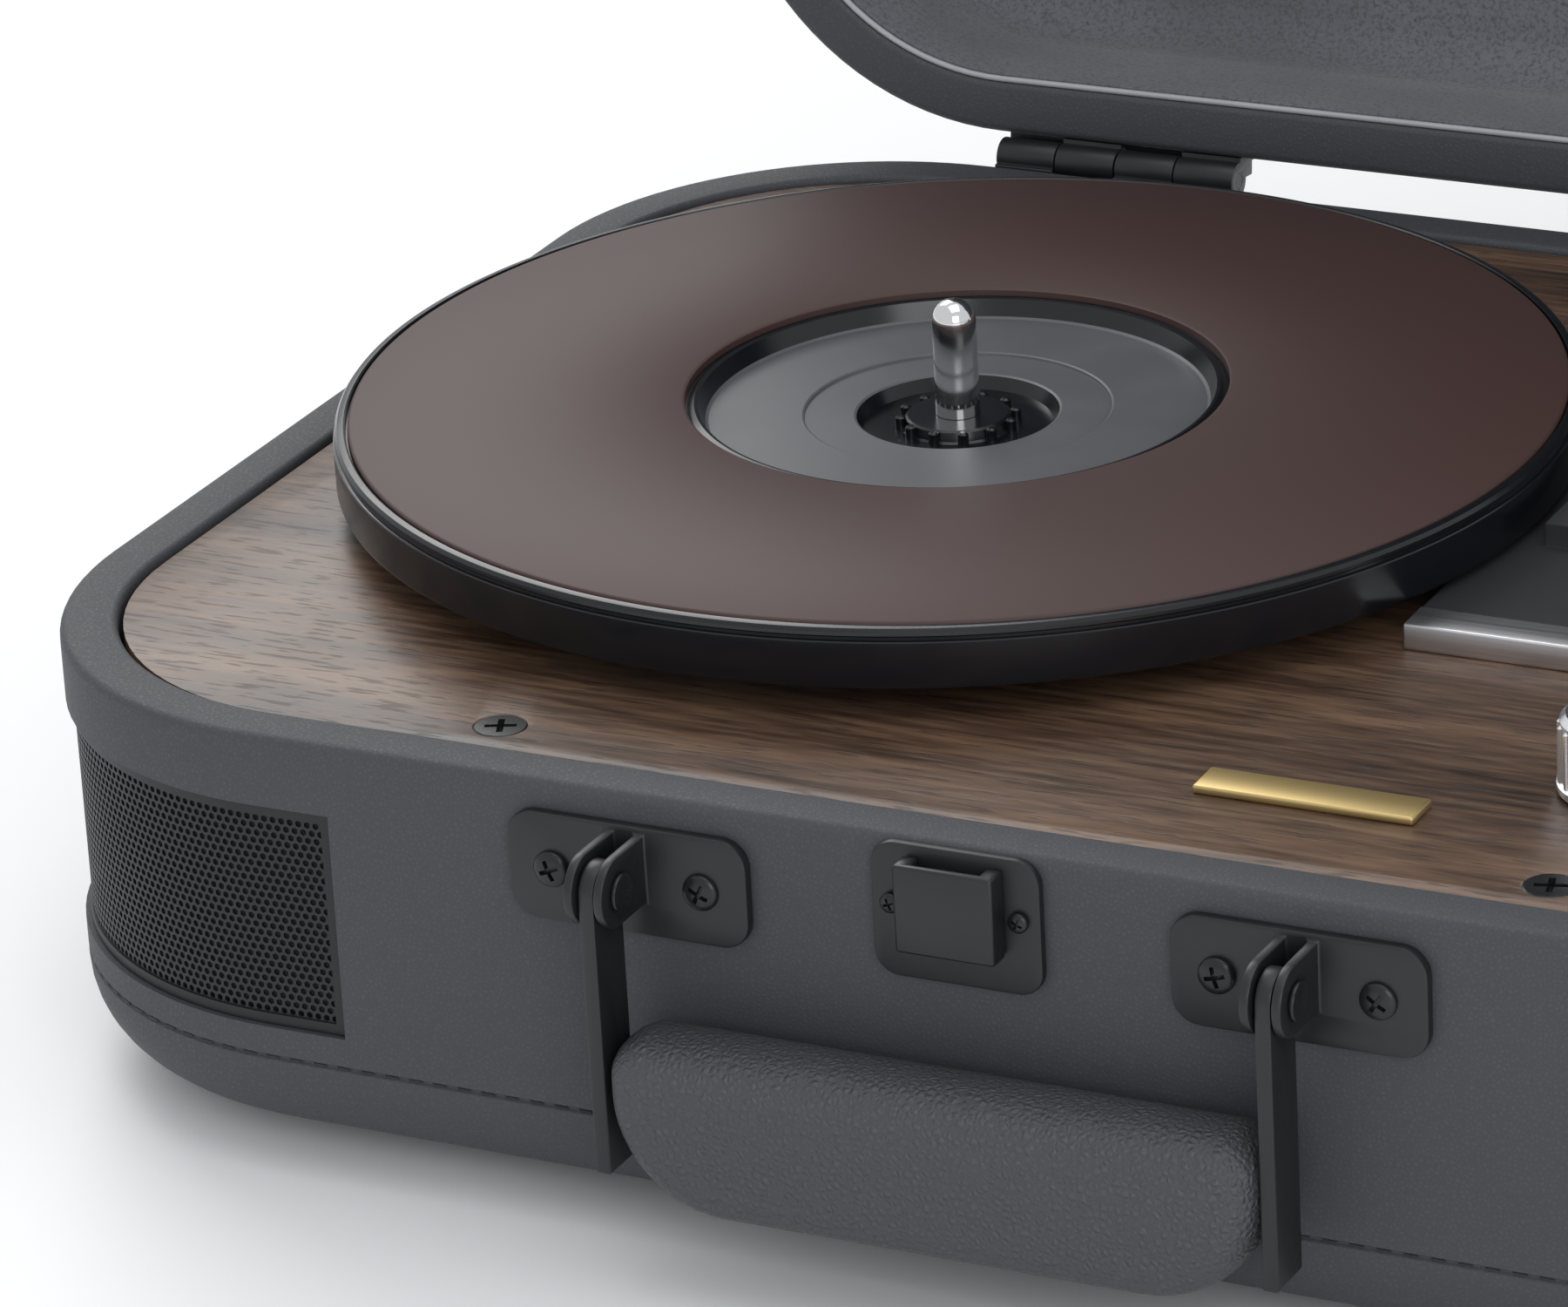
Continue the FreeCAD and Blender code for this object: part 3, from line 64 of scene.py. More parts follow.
BODY_OF = {
    node: body
    for body, nodes in frame["record"]["behaviour"]["bodies"].items()
    for node in nodes
}
JOINTS = {joint["name"]: joint for joint in frame["joints"]}

Colour = tuple[float, float, float]
Profile = list[tuple[float, float]]


# ----------------------------------------------------------------------------
# Node building
# ----------------------------------------------------------------------------
class Signal:
    """A number that changes over a surface, with arithmetic."""

    def __init__(self, bench: "Bench", socket: bpy.types.NodeSocket) -> None:
        """Wrap one output socket of a bench's tree."""
        self.bench = bench
        self.socket = socket

    def __add__(self, other: "Signal | float") -> "Signal":
        """Sum with another signal or a number."""
        return self.bench.maths("ADD", self, other)

    def __mul__(self, other: "Signal | float") -> "Signal":
        """Product with another signal or a number."""
        return self.bench.maths("MULTIPLY", self, other)

    def __sub__(self, other: "Signal | float") -> "Signal":
        """Difference from another signal or a number."""
        return self.bench.maths("SUBTRACT", self, other)

    def __rsub__(self, other: float) -> "Signal":
        """A number less this signal."""
        return self.bench.maths("SUBTRACT", other, self)

    __radd__ = __add__
    __rmul__ = __mul__


class Bench:
    """One node tree and the methods that add to it."""

    def __init__(self, tree: bpy.types.NodeTree) -> None:
        """Work on a given tree."""
        self.tree = tree

    def node(
        self, kind: str, settings: dict[str, Any] | None = None,
        sockets: dict[str | int, Any] | None = None,
    ) -> bpy.types.Node:
        """Add a node.

        Args:
            kind: the node's type.
            settings: its properties, set first; "stops" are a ramp's stops.
            sockets: values or links by input name or number.

        Returns:
            The new node.
        """
        made = self.tree.nodes.new(kind)
        for name, value in (settings or {}).items():
            if name == "stops":
                self.stops(made.color_ramp, value)
            else:
                setattr(made, name, value)
        for name, value in (sockets or {}).items():
            self.feed(made.inputs[name], value)
        return made

    @staticmethod
    def stops(ramp: bpy.types.ColorRamp, stops: Sequence[tuple[float, Colour]]) -> None:
        """Set a ramp's stops from (place, colour) pairs.

        Args:
            ramp: the ramp.
            stops: its (place, colour) pairs.
        """
        while len(ramp.elements) < len(stops):
            ramp.elements.new(1.0)
        for element, (place, colour) in zip(ramp.elements, stops):
            element.position = place
            element.color = (*colour, 1.0)

    def feed(self, socket: bpy.types.NodeSocket, value: Any) -> None:
        """Link a signal or socket to an input, or set its value.

        Args:
            socket: the input.
            value: a signal, an output socket or a plain value.
        """
        if isinstance(value, Signal):
            value = value.socket
        if isinstance(value, bpy.types.NodeSocket):
            self.tree.links.new(value, socket)
        else:
            socket.default_value = value

    def maths(self, operation: str, *values: "Signal | float") -> Signal:
        """One Math node on signals or numbers."""
        made = self.node("ShaderNodeMath", {"operation": operation}, dict(enumerate(values)))
        return Signal(self, made.outputs[0])


class Paint(Bench):
    """The nodes of one material."""

    def __init__(self, name: str) -> None:
        """Start an empty material of this name.

        Args:
            name: the material's name.
        """
        self.material = bpy.data.materials.new(name)
        self.material.use_nodes = True
        super().__init__(self.material.node_tree)
        self.tree.nodes.clear()
        self.out = self.node("ShaderNodeOutputMaterial")

    def where(self, stretch: Colour = (1, 1, 1), turn: Colour = (0, 0, 0)) -> Any:
        """Object coordinates, turned and stretched.

        Args:
            stretch: scale along each axis.
            turn: rotation in radians.

        Returns:
            The mapped coordinates.
        """
        place = self.node("ShaderNodeTexCoord").outputs["Object"]
        sockets = {"Vector": place, "Rotation": turn, "Scale": stretch}
        return self.node("ShaderNodeMapping", {}, sockets).outputs[0]

    def noise(self, where: Any, scale: float, detail: float = 2, warp: float = 0) -> Signal:
        """Cloudy noise from 0 to 1, with its features per metre."""
        sockets = {"Vector": where, "Scale": scale, "Detail": detail, "Distortion": warp}
        return Signal(self, self.node("ShaderNodeTexNoise", {}, sockets).outputs[0])

    def cells(self, where: Any, scale: float) -> Signal:
        """Distance to the nearest edge between cells.

        Args:
            where: coordinates.
            scale: cells per metre.

        Returns:
            The distance.
        """
        settings = {"feature": "DISTANCE_TO_EDGE"}
        sockets = {"Vector": where, "Scale": scale}
        made = self.node("ShaderNodeTexVoronoi", settings, sockets)
        return Signal(self, made.outputs["Distance"])

    def between(self, value: Signal, low: float, high: float) -> Signal:
        """Smooth step from 0 at low to 1 at high.

        Args:
            value: the signal.
            low: where the step starts.
            high: where it ends.

        Returns:
            The step.
        """
        settings = {"interpolation_type": "SMOOTHSTEP"}
        sockets = {"Value": value, "From Min": low, "From Max": high}
        return Signal(self, self.node("ShaderNodeMapRange", settings, sockets).outputs[0])

    def blend(self, share: "Signal | float", first: Any, second: Any) -> Any:
        """Mix two colours.

        Args:
            share: how much of the second.
            first: a colour or socket.
            second: a colour or socket.

        Returns:
            The mixed colour.
        """
        made = self.node("ShaderNodeMix", {"data_type": "RGBA"})
        self.feed(made.inputs[0], share)
        for index, colour in ((6, first), (7, second)):
            value = (*colour, 1.0) if isinstance(colour, tuple) else colour
            self.feed(made.inputs[index], value)
        return made.outputs[2]

    def bump(self, height: Signal, distance: float, strength: float = 1.0) -> Any:
        """A normal from a height, in metres at full height."""
        sockets = {"Height": height, "Distance": distance, "Strength": strength}
        return self.node("ShaderNodeBump", {}, sockets).outputs[0]

    def shade(self, **sockets: Any) -> bpy.types.Material:
        """Finish with a Principled shader; underscores stand for spaces.

        Args:
            **sockets: the shader's inputs.

        Returns:
            The material.
        """
        named = {name.replace("_", " "): value for name, value in sockets.items()}
        colour = named.get("Base Color")
        if isinstance(colour, tuple):
            named["Base Color"] = (*colour, 1.0)
        shader = self.node("ShaderNodeBsdfPrincipled", {}, named)
        self.tree.links.new(shader.outputs[0], self.out.inputs[0])
        return self.material


# ----------------------------------------------------------------------------
# Finishes
# ----------------------------------------------------------------------------
@dataclass(frozen=True)
class Leatherette:
    """Embossed leatherette: pebbles with fine creases between them, the creases tinted darker as painted shade."""

    name: str
    colour: Colour
    pebble: float
    depth: float
    rough: float = 0.52

    def make(self) -> bpy.types.Material:
        """Build the material.

        Returns:
            The material.
        """
        paint = Paint(self.name)
        place = paint.where()
        crease = paint.between(paint.cells(place, 1 / self.pebble), 0.0, 0.45)
        fine = paint.noise(place, 1.6 / self.pebble, 4)
        cloud = paint.noise(place, 9.0, 3)
        pale = tuple(1.12 * c for c in self.colour)
        deep = tuple(0.88 * c for c in self.colour)
        body = paint.blend(cloud, self.colour, pale)
        # The darker tint in the creases is painted shade in the valleys between the pebbles.
        tint = paint.blend(crease, deep, body)
        rough = self.rough + 0.10 * (fine - 0.5) + 0.10 * (1 - crease)
        height = 0.6 * crease + fine
        return paint.shade(
            Base_Color=tint, Roughness=rough, Normal=paint.bump(height, self.depth)
        )


@dataclass(frozen=True)
class Walnut:
    """Satin walnut foil whose figure runs along X."""

    name: str = "walnut_foil"
    dark: Colour = (0.024, 0.0122, 0.0072)
    mid: Colour = (0.080, 0.0430, 0.0245)
    light: Colour = (0.165, 0.0960, 0.0560)

    def make(self) -> bpy.types.Material:
        """Build the material.

        Returns:
            The material.
        """
        paint = Paint(self.name)
        sweep = paint.where((5.0, 30.0, 30.0))
        figure = paint.noise(sweep, 1.6, 5, 1.1)
        band = paint.noise(paint.where((2.2, 60.0, 60.0)), 2.2, 6, 0.5)
        fibre = paint.noise(paint.where((60.0, 650.0, 650.0)), 1.0, 4)
        pore = paint.noise(paint.where((120.0, 1000.0, 1000.0)), 1.0, 2)
        streak = paint.between(pore, 0.56, 0.66)
        tone = 0.36 * figure + 0.24 * band + 0.40 * fibre
        stops = [(0.38, self.dark), (0.48, self.mid), (0.60, self.light)]
        ramp = paint.node("ShaderNodeValToRGB", {"stops": stops}, {"Fac": tone})
        tint = paint.blend(streak * 0.55, ramp.outputs[0], self.dark)
        rough = 0.36 + 0.16 * fibre + 0.12 * streak
        height = 0.5 * fibre - streak
        return paint.shade(
            Base_Color=tint, Roughness=rough, Normal=paint.bump(height, 0.00006),
            Coat_Weight=0.25, Coat_Roughness=0.3,
        )


@dataclass(frozen=True)
class Felt:
    """Short matted fibre."""

    name: str
    colour: Colour
    fibre: float = 0.0007
    depth: float = 0.00010
    rough: float = 0.93
    sheen: float = 0.25
    shine: float = 0.15

    def make(self) -> bpy.types.Material:
        """Build the material.

        Returns:
            The material.
        """
        paint = Paint(self.name)
        place = paint.where()
        fuzz = paint.noise(place, 1 / self.fibre, 4, 0.6)
        cloud = paint.noise(place, 22.0, 3)
        pale = tuple(1.30 * c for c in self.colour)
        deep = tuple(0.70 * c for c in self.colour)
        body = paint.blend(paint.between(cloud, 0.3, 0.7), self.colour, pale)
        tint = paint.blend(paint.between(fuzz, 0.25, 0.6), deep, body)
        return paint.shade(
            Base_Color=tint, Roughness=self.rough - 0.08 * fuzz,
            Normal=paint.bump(fuzz, self.depth), Sheen_Weight=self.sheen,
            Sheen_Roughness=0.5, Specular_IOR_Level=self.shine,
        )


@dataclass(frozen=True)
class Moulded:
    """Moulded or enamelled surface with a faint texture."""

    name: str
    colour: Colour
    rough: float = 0.42
    texture: float = 0.0006
    depth: float = 0.00001
    metal: float = 0.0
    coat: float = 0.0

    def make(self) -> bpy.types.Material:
        """Build the material.

        Returns:
            The material.
        """
        paint = Paint(self.name)
        place = paint.where()
        grain = paint.noise(place, 1 / self.texture, 3)
        handled = paint.between(paint.noise(place, 60.0, 4), 0.35, 0.75)
        pale = tuple(min(1.0, 1.25 * c) for c in self.colour)
        tint = paint.blend(grain * 0.5 + handled * 0.3, self.colour, pale)
        rough = self.rough + 0.08 * (grain - 0.5) + 0.06 * handled
        return paint.shade(
            Base_Color=tint, Roughness=rough, Metallic=self.metal,
            Coat_Weight=self.coat, Normal=paint.bump(grain, self.depth),
        )


@dataclass(frozen=True)
class Brushed:
    """Metal with fine lines along one direction."""

    name: str
    colour: Colour
    along: int = 0
    rough: float = 0.28
    depth: float = 0.000008

    def make(self) -> bpy.types.Material:
        """Build the material.

        Returns:
            The material.
        """
        paint = Paint(self.name)
        stretch = [2600.0] * 3
        stretch[self.along] = 25.0
        lines = paint.noise(paint.where(tuple(stretch)), 1.0, 3)
        smear = paint.noise(paint.where(), 45.0, 3)
        pale = tuple(min(1.0, 1.15 * c) for c in self.colour)
        tint = paint.blend(lines, self.colour, pale)
        rough = self.rough + 0.16 * (lines - 0.5) + 0.10 * smear
        return paint.shade(
            Base_Color=tint, Roughness=rough, Metallic=1.0,
            Normal=paint.bump(lines, self.depth),
        )


@dataclass(frozen=True)
class Circuit:
    """Green board with bright tracks."""

    name: str = "circuit_board"

    def make(self) -> bpy.types.Material:
        """Build the material.

        Returns:
            The material.
        """
        paint = Paint(self.name)
        track = paint.between(paint.cells(paint.where(), 260.0), 0.03, 0.05)
        tint = paint.blend(track, (0.30, 0.34, 0.10), (0.01, 0.10, 0.045))
        return paint.shade(Base_Color=tint, Roughness=0.45 - 0.15 * track)


class Dress(Enum):
    """Every finish of the player."""

    CASE = Leatherette("case_leatherette", (0.052, 0.054, 0.061), 0.0008, 0.00004, 0.56)
    GRIP = Leatherette("grip_leatherette", (0.056, 0.058, 0.063), 0.0012, 0.00034, 0.38)
    DECK = Walnut()
    MAT = Felt("mat_brown", (0.0290, 0.0108, 0.0078), 0.0006, 0.00006, 0.95, 0.0, 0.0)
    LINING = Felt("lining_grey", (0.115, 0.118, 0.128))
    PANEL = Felt("lining_panel", (0.030, 0.031, 0.036), 0.0005)
    PIPING = Moulded("lid_piping", (0.36, 0.37, 0.38), 0.45)
    PLATTER = Moulded("platter_black", (0.0045, 0.0050, 0.0068), 0.20, 0.0004, 0.000003)
    HUB = Moulded("hub_satin", (0.085, 0.089, 0.096), 0.42, 0.0005, 0.000006)
    PLASTIC = Moulded("black_plastic", (0.016, 0.017, 0.020), 0.42, 0.0005, 0.00002)
    METAL = Moulded("black_enamel", (0.0095, 0.0098, 0.0115), 0.38, 0.0008, 0.00001)
    SCREW = Moulded("black_screw", (0.012, 0.0125, 0.014), 0.28, 0.0005, 0.00001, 0.2)
    GRILLE = Moulded("grille_enamel", (0.012, 0.0125, 0.015), 0.46, 0.0005, 0.00001, 0.2)
    THREAD = Felt("seam_thread", (0.030, 0.031, 0.034), 0.0003, 0.00003)
    RUBBER = Moulded("foot_rubber", (0.012, 0.012, 0.012), 0.72, 0.0007, 0.00003)
    CHROME = Brushed("bright_chrome", (0.82, 0.83, 0.85), 2, 0.07, 0.000001)
    KNOB = Brushed("silver_knob", (0.86, 0.86, 0.88), 2, 0.20, 0.000003)
    TRIM = Brushed("brushed_trim", (0.70, 0.70, 0.72), 0, 0.30)
    TUBE = Brushed("arm_aluminium", (0.62, 0.63, 0.66), 1, 0.22)
    STEEL = Brushed("plain_steel", (0.42, 0.42, 0.43), 2, 0.36)
    GOLD = Brushed("gold_trim", (0.24, 0.172, 0.078), 0, 0.40)
    BRASS = Brushed("contact_brass", (0.72, 0.55, 0.25), 1, 0.30)
    PAPER = Felt("cone_paper", (0.016, 0.016, 0.017), 0.0012, 0.00012)
    STYLUS = Moulded("stylus_red", (0.42, 0.02, 0.015), 0.25, 0.0010, 0.000002)
    BOARD = Circuit()

    def material(self) -> bpy.types.Material:
        """The finish's material, built once."""
        found = bpy.data.materials.get(self.value.name)
        return found or self.value.make()


# ----------------------------------------------------------------------------
# Mesh helpers
# ----------------------------------------------------------------------------
def settle(
    name: str, mesh: bpy.types.Mesh, dresses: Sequence[Dress], crease: float = CREASE
) -> bpy.types.Object:
    """Put a mesh in the scene with its finishes and smooth shading.

    Args:
        name: the piece's name.
        mesh: its mesh, in the frame's coordinates.
        dresses: finishes, one for each material index.
        crease: angle in degrees past which an edge stays sharp.

    Returns:
        The new object.
    """
    for dress in dresses:
        mesh.materials.append(dress.material())
    mesh.shade_smooth()
    mesh.set_sharp_from_angle(angle=math.radians(crease))
    made = bpy.data.objects.new(name, mesh)
    bpy.context.scene.collection.objects.link(made)
    return made


def from_bmesh(
    name: str, shape: bmesh.types.BMesh, dresses: Sequence[Dress], crease: float = CREASE
) -> bpy.types.Object:
    """Close a bmesh's normals and settle it as a piece.

    Args:
        name: the piece's name.
        shape: its bmesh, which is used up.
        dresses: finishes by material index.
        crease: sharpest smooth angle in degrees.

    Returns:
        The new object.
    """
    bmesh.ops.remove_doubles(shape, verts=shape.verts, dist=WELD)
    bmesh.ops.recalc_face_normals(shape, faces=shape.faces)
    mesh = bpy.data.meshes.new(name)
    shape.to_mesh(mesh)
    shape.free()
    return settle(name, mesh, dresses, crease)


def stand_for(piece: bpy.types.Object, *nodes: str) -> bpy.types.Object:
    """Let a piece replace CAD nodes, on their body.

    Args:
        piece: the piece.
        *nodes: the CAD nodes it replaces.

    Returns:
        The same piece.
    """
    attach(piece, BODY_OF[nodes[0]])
    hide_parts(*nodes)
    LOG.info("%s stands for %s", piece.name, ", ".join(nodes))
    return piece


def add_to(piece: bpy.types.Object, node: str) -> bpy.types.Object:
    """Let an extra piece ride with a CAD node, on its body.

    Args:
        piece: the piece.
        node: the CAD node it rides with.

    Returns:
        The same piece.
    """
    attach(piece, BODY_OF[node])
    LOG.info("%s added to %s", piece.name, node)
    return piece


def paint_node(node: str, dress: Dress) -> None:
    """Give a CAD node's own mesh a finish.

    Args:
        node: the CAD node.
        dress: its finish.
    """
    mesh = frame["nodes"][node].data
    mesh.materials.clear()
    mesh.materials.append(dress.material())
    LOG.info("%s painted %s", node, dress.value.name)


def copy_mesh(node: str) -> bmesh.types.BMesh:
    """A CAD node's mesh with its triangles joined into whole faces.

    Args:
        node: the CAD node.

    Returns:
        The joined mesh.
    """
    shape = bmesh.new()
    shape.from_mesh(frame["nodes"][node].data)
    bmesh.ops.remove_doubles(shape, verts=shape.verts, dist=CAD_WELD)
    bmesh.ops.dissolve_limit(
        shape, angle_limit=math.radians(FLAT), verts=shape.verts, edges=shape.edges
    )
    return shape


def baked(piece: bpy.types.Object) -> bpy.types.Object:
    """Turn a piece's modifiers into its mesh.

    Args:
        piece: the piece.

    Returns:
        The same piece.
    """
    graph = bpy.context.evaluated_depsgraph_get()
    mesh = bpy.data.meshes.new_from_object(piece.evaluated_get(graph), depsgraph=graph)
    piece.modifiers.clear()
    old = piece.data
    piece.data = mesh
    bpy.data.meshes.remove(old)
    return piece


def soften(node: str, dress: Dress, edge: float) -> bpy.types.Object:
    """Replace a CAD node with a copy whose sharp edges are rounded.

    Args:
        node: the CAD node.
        dress: its finish.
        edge: the rounding's width in millimetres.

    Returns:
        The new piece.
    """
    shape = copy_mesh(node)
    mesh = bpy.data.meshes.new(node)
    shape.to_mesh(mesh)
    shape.free()
    piece = settle(f"{node}_soft", mesh, [dress])
    bevel = piece.modifiers.new("round", "BEVEL")
    bevel.width = edge * MM
    bevel.segments = 2
    bevel.limit_method = "ANGLE"
    bevel.angle_limit = math.radians(35)
    bevel.use_clamp_overlap = True
    baked(piece)
    piece.data.set_sharp_from_angle(angle=math.radians(CREASE))
    return stand_for(piece, node)


def loose_boxes(node: str, back: Matrix) -> list[tuple[Vector, Vector]]:
    """Lowest and highest corners of each separate solid in a node, moved back first.

    Args:
        node: the CAD node.
        back: transform applied before measuring.

    Returns:
        A (low, high) pair for each solid, in order.
    """
    shape = copy_mesh(node)
    bmesh.ops.transform(shape, matrix=back, verts=shape.verts)
    left = set(shape.verts)
    boxes = []
    while left:
        stack = [left.pop()]
        seen = list(stack)
        while stack:
            for edge in stack.pop().link_edges:
                for vert in edge.verts:
                    if vert in left:
                        left.remove(vert)
                        stack.append(vert)
                        seen.append(vert)
        low = Vector([min(v.co[i] for v in seen) for i in range(3)])
        high = Vector([max(v.co[i] for v in seen) for i in range(3)])
        boxes.append((low, high))
    shape.free()
    return sorted(boxes, key=lambda pair: tuple(round(c, 5) for c in pair[0]))


def lathe(
    name: str, profile: Profile, centre: Vector, dresses: Sequence[Dress],
    steps: int = 96, marks: Callable[[int], int] | None = None,
    turn: Matrix | None = None, crease: float = CREASE,
) -> bpy.types.Object:
    """Turn a profile about Z.

    Args:
        name: the piece's name.
        profile: closed loop of (radius, height) in millimetres.
        centre: where the axis meets height zero, in metres.
        dresses: finishes by material index.
        steps: sides of the turned piece.
        marks: material index of the band that starts at a profile point.
        turn: rotation that takes Z to the piece's axis.
        crease: sharpest smooth angle in degrees.

    Returns:
        The new object.
    """
    shape = bmesh.new()
    turn = turn or Matrix.Identity(3)
    rings = []
    for radius, height in profile:
        ring = []
        for i in range(steps if radius > 1e-6 else 1):
            angle = math.tau * i / steps
            spot = Vector((radius * math.cos(angle), radius * math.sin(angle), height))
            ring.append(shape.verts.new(centre + turn @ (spot * MM)))
        rings.append(ring)
    for i, ring in enumerate(rings):
        after = rings[(i + 1) % len(rings)]
        for j in range(steps):
            k = (j + 1) % steps
            corners = [ring[j % len(ring)], ring[k % len(ring)]]
            corners += [after[k % len(after)], after[j % len(after)]]
            unique = list(dict.fromkeys(corners))
            if len(unique) > 2:
                face = shape.faces.new(unique)
                face.material_index = marks(i) if marks else 0
    return from_bmesh(name, shape, dresses, crease)


@dataclass(frozen=True)
class Spot:
    """A point of the case's outline: a base and the way outwards from it."""

    base: Vector
    out: Vector
    reach: float

    def at(self, inset: float, height: float) -> Vector:
        """The point moved inwards, at a height, all in metres."""
        flat = self.base + self.out * (self.reach - inset)
        return Vector((flat.x, flat.y, height))


@dataclass
class Outline:
    """Rounded rectangle of the case, seen from above, in metres."""

    low: Vector
    high: Vector
    corner: float
    steps: int = 24

    def spots(self, marks_x: Sequence[float] = (), marks_y: Sequence[float] = ()) -> list[Spot]:
        """Points anticlockwise from the right side's front end.

        Args:
            marks_x: extra points on the front and rear sides.
            marks_y: extra points on the left and right sides.

        Returns:
            The outline's points.
        """
        reach = self.corner
        right, left = self.high.x - reach, self.low.x + reach
        rear, front = self.high.y - reach, self.low.y + reach
        ups = sorted(marks_y)
        rights = sorted(marks_x)
        sides = [
            ((1, 0), [(right, y) for y in [front, *ups]], (right, rear), 0),
            ((0, 1), [(x, rear) for x in [right, *rights[::-1]]], (left, rear), 90),
            ((-1, 0), [(left, y) for y in [rear, *ups[::-1]]], (left, front), 180),
            ((0, -1), [(x, front) for x in [left, *rights]], (right, front), 270),
        ]
        found = []
        for out, line, hub, start in sides:
            found += [Spot(Vector(p), Vector(out), reach) for p in line]
            for i in range(self.steps):
                angle = math.radians(start + 90 * i / self.steps)
                way = Vector((math.cos(angle), math.sin(angle)))
                found.append(Spot(Vector(hub), way, reach))
        return found


def swept(
    shape: bmesh.types.BMesh, spots: Sequence[Spot], profile: Profile,
    skip: Callable[[int, int], bool] | None = None, mark: Callable[[int], int] | None = None,
    caps: bool = True,
) -> list[list[bmesh.types.BMVert]]:
    """Sweep a profile round an outline.

    Args:
        shape: the bmesh to add to.
        spots: the outline.
        profile: (inset, height) pairs in metres.
        skip: tells which cells, by row and column, are left open.
        mark: material index of each row.
        caps: close the first and last rings with a flat face.

    Returns:
        The rings of vertices.
    """
    rings = [[shape.verts.new(s.at(inset, up)) for s in spots] for inset, up in profile]
    count = len(spots)
    for i in range(len(rings) - 1):
        for j in range(count):
            if skip and skip(i, j):
                continue
            k = (j + 1) % count
            face = shape.faces.new((rings[i][j], rings[i][k], rings[i + 1][k], rings[i + 1][j]))
            face.material_index = mark(i) if mark else 0
    if caps:
        shape.faces.new(rings[0])
        last = shape.faces.new(rings[-1])
        last.material_index = mark(len(rings) - 1) if mark else 0
    return rings


def arc(centre: tuple[float, float], radius: float, start: float, end: float, steps: int) -> Profile:
    """Points on an arc of a profile, angles in degrees."""
    angles = [math.radians(start + (end - start) * i / steps) for i in range(steps + 1)]
    return [(centre[0] + radius * math.cos(a), centre[1] + radius * math.sin(a)) for a in angles]


# ----------------------------------------------------------------------------
# Geometry Nodes
# ----------------------------------------------------------------------------
class Grower(Bench):
    """A Geometry Nodes tree with named inputs."""

    def __init__(self, name: str, inputs: dict[str, str]) -> None:
        """Start a tree with a geometry input and the given further inputs.

        Args:
            name: the tree's name.
            inputs: socket types by input name.
        """
        tree = bpy.data.node_groups.new(name, "GeometryNodeTree")
        super().__init__(tree)
        sockets = {"Geometry": "NodeSocketGeometry", **inputs}
        for label, kind in sockets.items():
            tree.interface.new_socket(name=label, in_out="INPUT", socket_type=kind)
        tree.interface.new_socket(
            name="Geometry", in_out="OUTPUT", socket_type="NodeSocketGeometry"
        )
        self.given = self.node("NodeGroupInput").outputs
        self.result = self.node("NodeGroupOutput").inputs[0]

    def grow(
        self, name: str, start: bpy.types.Object, values: dict[str, Any], crease: float = CREASE
    ) -> bpy.types.Object:
        """Run the tree on an object and keep the plain mesh.

        Args:
            name: the new piece's name.
            start: the object it grows on, which is used up.
            values: the tree's inputs by name.
            crease: sharpest smooth angle in degrees.

        Returns:
            The new piece.
        """
        modifier = start.modifiers.new(self.tree.name, "NODES")
        modifier.node_group = self.tree
        for item in self.tree.interface.items_tree:
            if item.in_out == "INPUT" and item.name in values:
                modifier[item.identifier] = values[item.name]
        graph = bpy.context.evaluated_depsgraph_get()
        mesh = bpy.data.meshes.new_from_object(start.evaluated_get(graph), depsgraph=graph)
        bpy.data.objects.remove(start)
        made = bpy.data.objects.new(name, mesh)
        bpy.context.scene.collection.objects.link(made)
        mesh.shade_smooth()
        mesh.set_sharp_from_angle(angle=math.radians(crease))
        return made


class Repeater(Grower):
    """Sets a part down on every point, turned and sized by attributes."""

    def __init__(self) -> None:
        """Build the tree."""
        super().__init__(
            "repeat_part", {"Part": "NodeSocketObject", "Finish": "NodeSocketMaterial"}
        )
        part = self.node("GeometryNodeObjectInfo", {}, {"Object": self.given["Part"]})
        turn = self.node(
            "GeometryNodeInputNamedAttribute", {"data_type": "FLOAT_VECTOR"}, {"Name": "turn"}
        )
        size = self.node(
            "GeometryNodeInputNamedAttribute", {"data_type": "FLOAT"}, {"Name": "size"}
        )
        euler = self.node("FunctionNodeEulerToRotation", {}, {0: turn.outputs[0]})
        points = self.node("GeometryNodeMeshToPoints", {}, {"Mesh": self.given["Geometry"]})
        spread = self.node(
            "GeometryNodeInstanceOnPoints", {},
            {
                "Points": points.outputs[0],
                "Instance": part.outputs["Geometry"],
                "Rotation": euler.outputs[0],
                "Scale": size.outputs[0],
            },
        )
        real = self.node("GeometryNodeRealizeInstances", {}, {0: spread.outputs[0]})
        clad = self.node(
            "GeometryNodeSetMaterial", {},
            {"Geometry": real.outputs[0], "Material": self.given["Finish"]},
        )
        self.feed(self.result, clad.outputs[0])

    def repeat(
        self, name: str, part: bpy.types.Object, places: Iterable[tuple[Vector, Matrix, float]],
        dress: Dress,
    ) -> bpy.types.Object:
        """Set a part down at each (point, rotation, size).

        Args:
            name: the piece's name.
            part: what is repeated.
            places: (point, rotation, size) of each.
            dress: its finish.

        Returns:
            The new piece.
        """
        spots = list(places)
        mesh = bpy.data.meshes.new(f"{name}_points")
        mesh.from_pydata([spot for spot, _, _ in spots], [], [])
        mesh.attributes.new("turn", "FLOAT_VECTOR", "POINT")
        mesh.attributes.new("size", "FLOAT", "POINT")
        for i, (_, turn, size) in enumerate(spots):
            mesh.attributes["turn"].data[i].vector = turn.to_euler()
            mesh.attributes["size"].data[i].value = size
        start = bpy.data.objects.new(f"{name}_points", mesh)
        bpy.context.scene.collection.objects.link(start)
        values = {"Part": part, "Finish": dress.material()}
        return self.grow(name, start, values)


